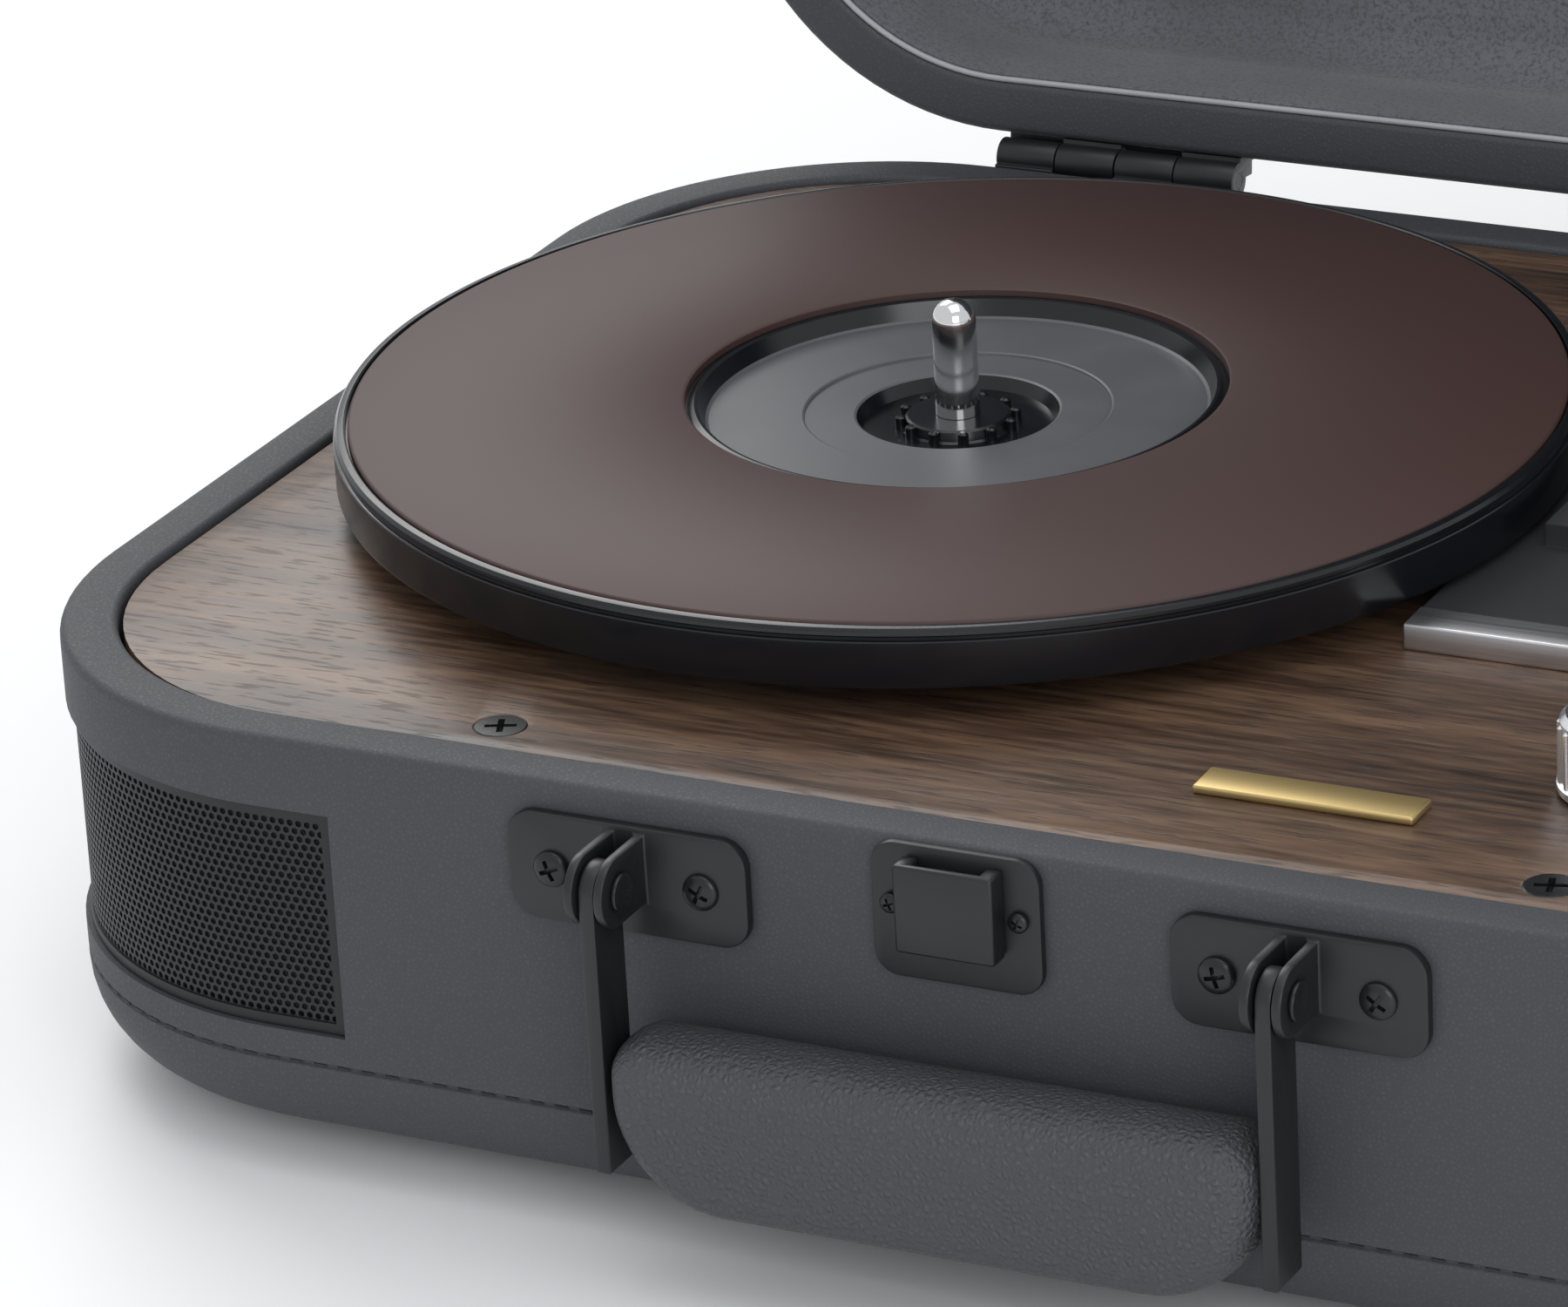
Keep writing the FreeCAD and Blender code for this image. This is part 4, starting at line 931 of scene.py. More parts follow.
class Perforator(Grower):
    """Turns a net of triangles into a sheet with a hole in every cell."""

    def __init__(self) -> None:
        """Build the tree."""
        super().__init__(
            "perforate",
            {
                "Open": "NodeSocketFloat",
                "Thickness": "NodeSocketFloat",
                "Finish": "NodeSocketMaterial",
            },
        )
        cells = self.node("GeometryNodeDualMesh", {}, {0: self.given["Geometry"]})
        web = self.node(
            "GeometryNodeExtrudeMesh", {"mode": "FACES"},
            {"Mesh": cells.outputs[0], "Offset Scale": 0.0, "Individual": True},
        )
        hole = self.node(
            "GeometryNodeScaleElements", {"domain": "FACE"},
            {"Geometry": web.outputs[0], "Selection": web.outputs[1], "Scale": self.given["Open"]},
        )
        wall = self.node(
            "GeometryNodeExtrudeMesh", {"mode": "FACES"},
            {
                "Mesh": hole.outputs[0],
                "Selection": web.outputs[1],
                "Offset Scale": self.given["Thickness"],
                "Individual": True,
            },
        )
        clear = self.node(
            "GeometryNodeDeleteGeometry", {"domain": "FACE", "mode": "ONLY_FACE"},
            {"Geometry": wall.outputs[0], "Selection": wall.outputs[1]},
        )
        real = self.node("GeometryNodeRealizeInstances", {}, {0: clear.outputs[0]})
        clad = self.node(
            "GeometryNodeSetMaterial", {},
            {"Geometry": real.outputs[0], "Material": self.given["Finish"]},
        )
        self.feed(self.result, clad.outputs[0])


class Facing(Enum):
    """The way a screw's head or a plug points."""

    UP = Matrix.Identity(3)
    FRONT = Matrix.Rotation(math.radians(90), 3, "X")
    REAR = Matrix.Rotation(math.radians(-90), 3, "X")


# ----------------------------------------------------------------------------
# Fasteners
# ----------------------------------------------------------------------------
@dataclass
class Fasteners:
    """A CAD node of equal screws, each with a crossed recess in its head."""

    node: str
    facing: Facing
    rise: float = 1.4
    sunk: bool = False
    swing: Matrix = field(default_factory=lambda: Matrix.Identity(4))

    def pattern(self, radius: float) -> bpy.types.Object:
        """One screw with a cross cut into its head, standing on Z.

        Args:
            radius: the head's radius in millimetres.

        Returns:
            The screw.
        """
        rise = self.rise
        if self.sunk:
            top: Profile = [(0, 0.0), (radius - 0.35, 0.0), (radius, -0.25)]
            foot: Profile = [(radius * 0.45, -2.3), (1.4, -3.0), (1.4, -14), (0, -14)]
        else:
            turns = [math.pi / 2 * i / 6 for i in range(7)]
            top = [(radius * math.sin(a), rise * (0.35 + 0.65 * math.cos(a))) for a in turns]
            foot = [(radius, 0.0), (radius * 0.4, 0.0), (radius * 0.4, -5), (0, -5)]
        head = lathe("screw_head", top + foot, Vector(), [Dress.SCREW], 28)
        depth = 1.3 if self.sunk else rise * 0.75
        level = 0.0 if self.sunk else rise
        cutter = bmesh.new()
        for turn in (0, 90):
            made = bmesh.ops.create_cube(cutter, size=1.0)["verts"]
            scale = Matrix.Diagonal((radius * 1.15, radius * 0.24, depth * 2, 1))
            spin = Matrix.Rotation(math.radians(turn), 4, "Z")
            lift = Matrix.Translation((0, 0, level))
            size = Matrix.Scale(MM, 4)
            bmesh.ops.transform(cutter, matrix=size @ lift @ spin @ scale, verts=made)
        mesh = bpy.data.meshes.new("cross")
        cutter.to_mesh(mesh)
        cutter.free()
        cross = bpy.data.objects.new("cross", mesh)
        bpy.context.scene.collection.objects.link(cross)
        cut = head.modifiers.new("cross", "BOOLEAN")
        cut.operation = "DIFFERENCE"
        cut.solver = "EXACT"
        cut.use_self = True
        cut.object = cross
        baked(head)
        bpy.data.objects.remove(cross)
        return head

    def build(self, repeater: Repeater) -> None:
        """Put a screw in the place of each of the node's solids.

        Args:
            repeater: sets one part down on many points.
        """
        turn = self.facing.value
        way = turn @ Vector((0, 0, 1))
        boxes = loose_boxes(self.node, self.swing.inverted())
        spread = boxes[0][1] - boxes[0][0]
        across = [spread[k] for k in range(3) if abs(way[k]) < 0.5]
        part = self.pattern(max(across) / 2 / MM)
        places = []
        for i, (low, high) in enumerate(boxes):
            half = sum(abs(way[k]) * (high[k] - low[k]) / 2 for k in range(3))
            sink = 0.0 if self.sunk else self.rise * MM
            seat = (low + high) / 2 + way * (half - sink)
            spin = Matrix.Rotation(math.radians(23 + 41 * i), 3, "Z")
            places.append((seat, turn @ spin, 1.0))
        screws = repeater.repeat(f"{self.node}_crossed", part, places, Dress.SCREW)
        screws.data.transform(self.swing)
        bpy.data.objects.remove(part)
        stand_for(screws, self.node)


# ----------------------------------------------------------------------------
# Case
# ----------------------------------------------------------------------------
@dataclass
class Case:
    """The covered tray: rounded belly, flat rim, seam and speaker openings."""

    wall: float = 9.2 * MM
    corner: float = 58 * MM
    belly: float = 14 * MM
    lip: float = 1.6 * MM
    seam_up: float = 15.5 * MM
    grille_x: float = 106 * MM
    grille_y: float = 63.5 * MM
    grille_low: float = 25.7 * MM
    grille_top: float = 63.2 * MM
    floor: float = 6 * MM
    stitch_gap: float = 4.2 * MM
    panel_x: tuple[float, float] = (22 * MM, 98 * MM)
    panel_low: float = 22 * MM
    panel_top: float = 44 * MM

    def __post_init__(self) -> None:
        """Read the case's own size from the frame."""
        self.low, self.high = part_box("base_shell")
        self.middle = (self.low.y + self.high.y) / 2
        self.outline = Outline(self.low, self.high, self.corner)
        marks_x = (-self.grille_x, *self.panel_x, self.grille_x)
        marks_y = (self.middle - self.grille_y,)
        self.spots = self.outline.spots(marks_x, marks_y)
        self.seam = self.low.z + self.seam_up

    def levels(self) -> list[float]:
        """Heights of the openings' edges, upwards."""
        return sorted((self.panel_low, self.grille_low, self.panel_top, self.grille_top))

    def is_open(self, level: int, column: int) -> bool:
        """Whether a cell of the wall, by level and column, lies in an opening.

        Args:
            level: number of the band between two levels.
            column: number of the outline point.

        Returns:
            True inside an opening.
        """
        if not 0 <= level < len(self.levels()) - 1:
            return False
        count = len(self.spots)
        pair = (self.spots[column % count], self.spots[(column + 1) % count])
        middle = (self.levels()[level] + self.levels()[level + 1]) / 2
        if self.in_grille(*pair):
            return self.grille_low < middle < self.grille_top
        place = (pair[0].at(0, 0) + pair[1].at(0, 0)) / 2
        inside = self.panel_x[0] < place.x < self.panel_x[1] and place.y > self.middle
        return inside and self.panel_low < middle < self.panel_top

    def in_grille(self, first: Spot, second: Spot) -> bool:
        """Whether the cell between two outline points lies in a speaker opening.

        Args:
            first: the cell's first outline point.
            second: its second.

        Returns:
            True inside an opening.
        """
        place = (first.at(0, 0) + second.at(0, 0)) / 2
        side = abs(place.x) > self.grille_x - 1e-6
        return side and place.y < self.middle - self.grille_y + 1e-6

    def profile(self) -> tuple[Profile, int, int]:
        """The wall's outline from the belly over the rim to the floor.

        Returns:
            The profile, and the first rows of the openings outside and inside.
        """
        base, top = self.low.z, self.high.z
        belly = arc((self.belly, base + self.belly), -self.belly, 90, 0, 10)
        seam = [
            (0.0, self.seam - 0.5 * MM),
            (0.45 * MM, self.seam - 0.15 * MM),
            (0.45 * MM, self.seam + 0.15 * MM),
            (0.0, self.seam + 0.5 * MM),
        ]
        outer = [(0.0, level) for level in self.levels()]
        rim = arc((self.lip, top - self.lip), -self.lip, 0, -90, 5)
        inner_lip = self.lip * 0.7
        hub = (self.wall - inner_lip, top - inner_lip)
        rim += arc(hub, inner_lip, 90, 0, 4)
        inner = [(self.wall, level) for level in self.levels()[::-1]]
        last = [(self.wall, base + self.floor)]
        rows = belly + seam
        first = len(rows)
        rows += outer + rim
        second = len(rows)
        rows += inner + last
        return rows, first, second

    def build(self, repeater: Repeater) -> None:
        """Build the tray and its stitched seam.

        Args:
            repeater: sets one part down on many points.
        """
        rows, first, second = self.profile()
        count = len(self.spots)
        top = len(self.levels()) - 1

        def skip(row: int, column: int) -> bool:
            """Leave the openings out of the wall, outside and inside.

            Args:
                row: the profile's row.
                column: number of the outline point.

            Returns:
                True where the wall is open.
            """
            if row >= second:
                return self.is_open(top - 1 - (row - second), column)
            return self.is_open(row - first, column)

        shape = bmesh.new()
        rings = swept(shape, self.spots, rows, skip)

        def edge(one: tuple[int, int], other: tuple[int, int]) -> None:
            """Close an opening's edge between two (level, column) corners.

            Args:
                one: first corner.
                other: second corner.
            """
            corners = [rings[first + level][column % count] for level, column in (one, other)]
            corners += [
                rings[second + top - level][column % count] for level, column in (other, one)
            ]
            shape.faces.new(corners)

        for level in range(top):
            for j in range(count):
                if not self.is_open(level, j):
                    continue
                if not self.is_open(level - 1, j):
                    edge((level, j), (level, j + 1))
                if not self.is_open(level + 1, j):
                    edge((level + 1, j), (level + 1, j + 1))
                if not self.is_open(level, j - 1):
                    edge((level, j), (level + 1, j))
                if not self.is_open(level, j + 1):
                    edge((level, j + 1), (level + 1, j + 1))
        stand_for(from_bmesh("case_tray", shape, [Dress.CASE]), "base_shell")
        self.stitches(repeater)

    def stitches(self, repeater: Repeater) -> None:
        """Sew a line of short stitches into the seam.

        Args:
            repeater: sets one part down on many points.
        """
        part = capsule("stitch", 1.25, 0.24)
        spots = Outline(self.low, self.high, self.corner, 90).spots()
        places = []
        left = 0.0
        for i, spot in enumerate(spots):
            here = spot.at(0.28 * MM, self.seam)
            there = spots[(i + 1) % len(spots)].at(0.28 * MM, self.seam)
            run = (there - here).length
            while left < run:
                point = here.lerp(there, left / run)
                way = (there - here).normalized()
                turn = way.to_track_quat("X", "Z").to_matrix()
                places.append((point, turn, 1.0))
                left += self.stitch_gap
            left -= run
        seam = repeater.repeat("case_seam_stitches", part, places, Dress.THREAD)
        bpy.data.objects.remove(part)
        add_to(seam, "base_shell")


def capsule(name: str, half: float, radius: float) -> bpy.types.Object:
    """A short thread along X, pulled in at its ends, sizes in millimetres.

    Args:
        name: the piece's name.
        half: half its length.
        radius: its radius.

    Returns:
        The thread.
    """
    profile = [
        (0, -half), (radius * 0.8, -half * 0.85), (radius, 0), (radius * 0.8, half * 0.85),
        (0, half),
    ]
    turn = Matrix.Rotation(math.radians(90), 3, "Y")
    return lathe(name, profile, Vector(), [Dress.THREAD], 6, turn=turn, crease=80)


@dataclass
class Grille:
    """Perforated metal wrapped round a front corner of the case."""

    case: Case
    side: int
    pitch: float = 1.5 * MM
    open_share: float = 0.66
    sheet: float = 0.45 * MM
    inset: float = 1.25 * MM
    border: float = 1.9 * MM

    def along(self, run: float, height: float, out: float = 0.0) -> Vector:
        """A point at a distance along the wrapped sheet, from its rear edge.

        Args:
            run: distance along the sheet.
            height: height above the ground.
            out: distance outwards from the sheet.

        Returns:
            The point.
        """
        case = self.case
        hub_y = case.low.y + case.corner
        hub_x = (case.high.x - case.corner) * self.side
        rear = case.middle - case.grille_y
        straight = rear - hub_y
        radius = case.corner - self.inset + out
        bend = (case.corner - self.inset) * math.pi / 2
        if run < straight:
            return Vector((hub_x + self.side * radius, rear - run, height))
        if run < straight + bend:
            angle = (run - straight) / (case.corner - self.inset)
            across = hub_x + self.side * radius * math.cos(angle)
            return Vector((across, hub_y - radius * math.sin(angle), height))
        rest = run - straight - bend
        return Vector((hub_x - self.side * rest, hub_y - radius, height))

    def length(self) -> float:
        """The sheet's length round the corner.

        Returns:
            The length.
        """
        case = self.case
        side = case.middle - case.grille_y - case.low.y - case.corner
        front = case.high.x - case.corner - case.grille_x
        return side + (case.corner - self.inset) * math.pi / 2 + front

    def build(self, perforator: Perforator) -> None:
        """Build the sheet and its plain border.

        Args:
            perforator: opens a hole in each cell of a net.
        """
        node = "right_speaker_grille" if self.side > 0 else "left_speaker_grille"
        total = self.length()
        low, top = self.case.grille_low, self.case.grille_top
        rise = self.pitch * math.sqrt(3) / 2
        rows = round((top - low) / rise) + 1
        columns = round(total / self.pitch) + 1
        shape = bmesh.new()
        net = []
        for i in range(rows):
            line = []
            for j in range(columns):
                run = (j + 0.5 * (i % 2)) * total / (columns - 0.5)
                height = low + (top - low) * i / (rows - 1)
                line.append(shape.verts.new(self.along(min(run, total), height)))
            net.append(line)
        for i in range(rows - 1):
            for j in range(columns - 1):
                a, b, c, d = net[i][j], net[i][j + 1], net[i + 1][j], net[i + 1][j + 1]
                cells = [(a, b, c), (b, d, c)] if i % 2 == 0 else [(a, b, d), (a, d, c)]
                for corners in cells:
                    order = corners if self.side < 0 else corners[::-1]
                    shape.faces.new(order)
        mesh = bpy.data.meshes.new("grille_net")
        shape.to_mesh(mesh)
        shape.free()
        start = bpy.data.objects.new("grille_net", mesh)
        bpy.context.scene.collection.objects.link(start)
        values = {
            "Open": self.open_share,
            "Thickness": -self.sheet,
            "Finish": Dress.GRILLE.material(),
        }
        sheet = perforator.grow(f"{node}_sheet", start, values)
        stand_for(sheet, node)
        self.frame(node, total, low, top)

    def frame(self, node: str, total: float, low: float, top: float) -> None:
        """A plain raised edge round the perforated sheet.

        Args:
            node: the CAD node.
            total: the sheet's length.
            low: its lower edge.
            top: its upper edge.
        """
        shape = bmesh.new()
        edge = self.border
        steps = 64
        loop = [(edge + (total - 2 * edge) * i / steps, low + edge) for i in range(steps + 1)]
        loop += [(total - edge - (total - 2 * edge) * i / steps, top - edge)
                 for i in range(steps + 1)]
        outer = [(total * i / steps, low + 0.2 * MM) for i in range(steps + 1)]
        outer += [(total - total * i / steps, top - 0.2 * MM) for i in range(steps + 1)]
        rings = []
        for line, out in ((outer, -0.5), (outer, 0.35), (loop, 0.35), (loop, -0.5)):
            rings.append([shape.verts.new(self.along(r, h, out * MM)) for r, h in line])
        count = len(loop)
        for i in range(4):
            ring, after = rings[i], rings[(i + 1) % 4]
            for j in range(count):
                k = (j + 1) % count
                shape.faces.new((ring[j], ring[k], after[k], after[j]))
        add_to(from_bmesh(f"{node}_edge", shape, [Dress.GRILLE]), node)


# ----------------------------------------------------------------------------
# Lid
# ----------------------------------------------------------------------------
@dataclass
class Lid:
    """The hinged cover, drawn shut and swung open in its mesh."""

    case: Case
    gap: float = 0.5 * MM
    high: float = 42 * MM
    roof: float = 5 * MM
    edge: float = 14 * MM
    lining: float = 1.5 * MM
    cove: float = 9 * MM
    border: float = 24 * MM
    step: float = 0.8 * MM

    def __post_init__(self) -> None:
        """Read the hinge from the frame."""
        joint = JOINTS["lid_hinge"]
        hinge = Vector(joint["pos_m"])
        angle = math.radians(joint["range_deg"][1])
        back = Matrix.Translation(hinge) @ Matrix.Rotation(-angle, 4, "X")
        self.swing = back @ Matrix.Translation(-hinge)
        self.low = self.case.high.z + self.gap
        self.top = self.low + self.high

    def opened(self, piece: bpy.types.Object) -> bpy.types.Object:
        """Swing a piece's mesh open about the hinge."""
        piece.data.transform(self.swing)
        return piece

    def shell(self) -> None:
        """The covered lid: rim, rounded back and inner walls."""
        case = self.case
        lip = case.lip
        wall = case.wall
        rim = arc((wall - lip * 0.7, self.low + lip * 0.7), lip * 0.7, 0, -90, 4)
        rim += arc((lip, self.low + lip), -lip, 90, 0, 5)
        back = arc((self.edge, self.top - self.edge), -self.edge, 0, -90, 12)
        rows = [(wall, self.top - self.roof), *rim, *back]
        shape = bmesh.new()
        swept(shape, self.case.outline.spots(), rows)
        shell = self.opened(from_bmesh("lid_cover", shape, [Dress.CASE]))
        stand_for(shell, "lid_shell")

    def inside(self) -> None:
        """The soft lining with its sunk middle panel, and the bright piping."""
        wall = self.case.wall
        rise = self.low + 1.6 * MM
        roof = self.top - self.roof - 0.1 * MM
        floor = self.top - self.roof - 2 * MM
        outer = [(56 * MM, roof), (wall + 0.05 * MM, roof), (wall + 0.05 * MM, rise)]
        skin = wall + self.lining
        hub = (skin + self.cove, floor - self.cove)
        cove = arc(hub, -self.cove, 0, -90, 8)
        panel = wall + self.border
        middle = [
            (panel - 1.2 * MM, floor),
            (panel - 0.4 * MM, floor + self.step * 0.2),
            (panel + 0.4 * MM, floor + self.step * 0.9),
            (panel + 1.4 * MM, floor + self.step),
            (panel + 12 * MM, floor + self.step),
        ]
        rows = [*outer, (skin - 0.3 * MM, rise), (skin, rise + 0.4 * MM), *cove, *middle]
        dark_from = len(rows) - len(middle) + 1

        def mark(row: int) -> int:
            """The middle panel is darker than the border."""
            return 1 if row >= dark_from else 0

        shape = bmesh.new()
        swept(shape, self.case.outline.spots(), rows, mark=mark)
        dresses = [Dress.LINING, Dress.PANEL]
        lining = self.opened(from_bmesh("lid_lining_tray", shape, dresses, 50))
        stand_for(lining, "lid_lining")
        shape = bmesh.new()
        bead = arc((wall + 0.5 * MM, self.low + 1.0 * MM), 0.55 * MM, 0, 315, 7)
        rings = swept(shape, self.case.outline.spots(), bead, caps=False)
        count = len(rings[0])
        for j in range(count):
            k = (j + 1) % count
            shape.faces.new((rings[-1][j], rings[-1][k], rings[0][k], rings[0][j]))
        piping = self.opened(from_bmesh("lid_piping", shape, [Dress.PIPING], 60))
        add_to(piping, "lid_lining")

    def build(self, repeater: Repeater) -> None:
        """Build the cover, its lining and its hardware.

        Args:
            repeater: sets one part down on many points.
        """
        self.shell()
        self.inside()
        soften("hinge_lid_leaves", Dress.METAL, 0.25)
        soften("lid_hasp", Dress.METAL, 0.3)
        Fasteners("hinge_lid_screws", Facing.REAR, swing=self.swing).build(repeater)
        Fasteners("hasp_screws", Facing.FRONT, 0.9, swing=self.swing).build(repeater)


# ----------------------------------------------------------------------------
# Deck and turntable
# ----------------------------------------------------------------------------
@dataclass
class Deck:
    """The walnut board and what is fixed on it."""

    def build(self, repeater: Repeater) -> None:
        """Dress the board, its screws, emblem and trim.

        Args:
            repeater: sets one part down on many points.
        """
        soften("deck_panel", Dress.DECK, 0.25)
        Fasteners("deck_screws", Facing.UP, sunk=True).build(repeater)
        soften("emblem_plate", Dress.GOLD, 0.4)
        soften("arm_plinth", Dress.PLASTIC, 0.5)
        soften("plinth_trim", Dress.TRIM, 0.35)


@dataclass
class Turntable:
    """Platter, mat, hub and centre pin, turned about one axis."""

    radius: float = 101.3
    mat_radius: float = 98.9
    ring: float = 43.6
    recess: float = 40.5
    well: float = 16.5
    drive: float = 62.0
    skin: float = 3.0
    pin: float = 3.6
    ribs: int = 12

    def __post_init__(self) -> None:
        """Read the axis and the heights from the frame."""
        low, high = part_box("spindle")
        self.axis = Vector(((low.x + high.x) / 2, (low.y + high.y) / 2, 0))
        self.tip = high.z / MM
        dish_low, dish_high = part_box("platter")
        self.hub_low = dish_low.z / MM
        self.lip = dish_high.z / MM
        self.mat_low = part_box("slip_mat")[0].z / MM
        self.mat_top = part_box("slip_mat")[1].z / MM

    def dish(self) -> None:
        """The platter with a rolled rim, a bevelled ring and a sunk centre."""
        seat, lip, skin = self.mat_low, self.lip, self.skin
        rim_low = self.hub_low + 2.7
        floor = seat - 2.8
        well_floor = floor - 2.8
        hub_top = floor - 0.8
        pin = self.pin - 0.1
        under = [
            (pin, self.hub_low), (12, self.hub_low), (12, rim_low + 0.2),
            (self.well + skin, rim_low + 0.2), (self.well + skin, floor - 3.2),
            (self.ring + skin, floor - 3.2), (self.ring + skin, seat - skin),
            (self.drive - 4, seat - skin), (self.drive - 4, rim_low + 0.4),
            (self.drive, rim_low + 0.4), (self.drive, seat - skin),
            (self.radius - skin, seat - skin), (self.radius - skin, rim_low),
        ]
        side = [
            (self.radius - 0.9, rim_low), (self.radius - 0.25, rim_low + 0.3),
            (self.radius, rim_low + 0.9), (self.radius, lip - 2.3),
            (self.radius - 0.15, lip - 2.1), (self.radius - 0.55, lip - 1.95),
            (self.radius - 0.55, lip - 1.5), (self.radius - 0.25, lip - 1.2),
            (self.radius - 0.3, lip - 0.7), (self.radius - 0.75, lip - 0.15),
            (self.radius - 1.3, lip), (self.mat_radius + 0.65, lip),
            (self.mat_radius + 0.35, lip - 0.2), (self.mat_radius + 0.3, seat),
        ]
        centre = [
            (self.ring + 0.4, seat), (self.ring, seat - 0.1), (self.ring - 0.9, seat + 0.35),
            (self.ring - 1.5, seat + 0.2), (self.recess + 0.5, floor + 0.3),
            (self.recess, floor), (self.recess - 15.2, floor),
            (self.recess - 15.5, floor - 0.15), (self.recess - 15.6, floor - 0.5),
            (self.well + 0.4, floor - 0.5), (self.well, floor - 0.7),
            (self.well - 1, well_floor), (9.4, well_floor), (9.0, well_floor + 0.3),
            (8.6, hub_top - 0.3), (8.2, hub_top), (pin, hub_top),
        ]
        shine = len(under) + len(side)

        def marks(row: int) -> int:
            """The sunk centre is satin; the rest is gloss black."""
            return 1 if shine + 4 <= row <= shine + 9 else 0

        dish = lathe(
            "platter_dish", under + side + centre, self.axis,
            [Dress.PLATTER, Dress.HUB], 200, marks, crease=24,
        )
        stand_for(dish, "platter")

    def hub_ribs(self, repeater: Repeater) -> None:
        """Splines round the hub, in its well.

        Args:
            repeater: sets one part down on many points.
        """
        part = lathe(
            "rib", [(0, -1.5), (0.9, -1.5), (0.85, 0.6), (0.5, 0.9), (0, 0.95)], Vector(),
            [Dress.PLATTER], 12,
        )
        top = (self.mat_low - 2.8 - 1.6) * MM
        places = []
        for i in range(self.ribs):
            angle = math.tau * i / self.ribs
            out = Vector((math.cos(angle), math.sin(angle), 0)) * 9.4 * MM
            turn = Matrix.Rotation(angle, 3, "Z")
            places.append((self.axis + out + Vector((0, 0, top)), turn, 1.0))
        ribs = repeater.repeat("hub_splines", part, places, Dress.PLATTER)
        bpy.data.objects.remove(part)
        add_to(ribs, "platter")

    def mat(self) -> None:
        """The brown mat, a thin ring with soft edges."""
        low, top = self.mat_low, self.mat_top
        profile = [
            (self.ring + 0.5, low), (self.mat_radius - 0.2, low), (self.mat_radius, low + 0.3),
            (self.mat_radius - 0.1, top - 0.3), (self.mat_radius - 0.6, top),
            (self.ring + 1.1, top), (self.ring + 0.6, top - 0.25),
        ]
        mat = lathe("brown_mat", profile, self.axis, [Dress.MAT], 200, crease=50)
        stand_for(mat, "slip_mat")

    def spindle(self) -> None:
        """The chromed centre pin with its domed top and a shoulder."""
        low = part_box("spindle")[0].z / MM
        hub_top = self.mat_low - 3.6
        dome = [
            (self.pin * math.cos(a), self.tip - self.pin + self.pin * math.sin(a))
            for a in [math.pi / 2 * i / 8 for i in range(9)]
        ]
        profile = [(0, low), (3.5, low), (3.5, hub_top), (3.5, hub_top + 0.02)]
        profile += [(self.pin, hub_top + 0.1), *dome]
        pin = lathe("centre_pin", profile, self.axis, [Dress.CHROME], 48, crease=40)
        stand_for(pin, "spindle")

    def build(self, repeater: Repeater) -> None:
        """Build the turntable and dress its drive.

        Args:
            repeater: sets one part down on many points.
        """
        self.dish()
        self.mat()
        self.spindle()
        self.hub_ribs(repeater)
        paint_node("spindle_bearing", Dress.STEEL)
        paint_node("motor_body", Dress.STEEL)
        paint_node("motor_pulley", Dress.BRASS)
        paint_node("drive_belt", Dress.RUBBER)
        Fasteners("motor_screws", Facing.UP).build(repeater)


# ----------------------------------------------------------------------------
# Handle and lock
# ----------------------------------------------------------------------------
@dataclass
class Handle:
    """Grip, straps, brackets and rivets on the front."""

    low_corner: float = 19 * MM
    top_corner: float = 6.5 * MM
    soft: float = 5.6 * MM
    crown: float = 0.15 * MM

    def ring(self, inset: float, depth: float) -> list[Vector]:
        """The grip's front outline moved inwards, at a depth.

        Args:
            inset: distance inwards.
            depth: distance from the middle, to the rear.

        Returns:
            The outline's points.
        """
        low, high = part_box("handle_grip")
        middle = (low.y + high.y) / 2
        corners = [
            (high.x, high.z, self.top_corner, 0), (low.x, high.z, self.top_corner, 90),
            (low.x, low.z, self.low_corner, 180), (high.x, low.z, self.low_corner, 270),
        ]
        found = []
        for x, z, radius, start in corners:
            hub_x = x - math.copysign(radius, x)
            hub_z = z - radius if start < 180 else z + radius
            for i in range(13):
                angle = math.radians(start + 90 * i / 12)
                reach = radius - inset
                found.append(Vector((
                    hub_x + reach * math.cos(angle), middle + depth,
                    hub_z + reach * math.sin(angle),
                )))
        return found

    def grip(self) -> None:
        """The padded bar: soft all round, with a nearly flat face."""
        low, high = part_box("handle_grip")
        half = (high.y - low.y) / 2
        shape = bmesh.new()
        rings = []
        steps = 12
        for i in range(steps + 1):
            angle = -math.pi / 2 + math.pi * i / steps
            lift = math.copysign(abs(math.sin(angle)) ** 0.85, angle)
            inset = self.soft * (1 - abs(math.cos(angle)) ** 0.85)
            depth = (half - self.crown) * lift
            rings.append([shape.verts.new(p) for p in self.ring(inset, depth)])
        flat = self.top_corner - 0.2 * MM
        for place, depth in ((0, -half), (len(rings) + 1, half)):
            rings.insert(place, [shape.verts.new(p) for p in self.ring(flat, depth)])
        count = len(rings[0])
        for ring, after in zip(rings, rings[1:]):
            for j in range(count):
                k = (j + 1) % count
                shape.faces.new((ring[j], ring[k], after[k], after[j]))
        for ring in (rings[0], rings[-1]):
            shape.faces.new(ring)
        grip = from_bmesh("padded_grip", shape, [Dress.GRIP], 70)
        stand_for(grip, "handle_grip")

    def build(self, repeater: Repeater) -> None:
        """Build the handle and dress its brackets.

        Args:
            repeater: sets one part down on many points.
        """
        self.grip()
        soften("handle_left_arm", Dress.METAL, 0.4)
        soften("handle_right_arm", Dress.METAL, 0.4)
        soften("handle_brackets", Dress.METAL, 0.45)
        soften("handle_pins", Dress.SCREW, 0.35)
        Fasteners("bracket_screws", Facing.FRONT).build(repeater)


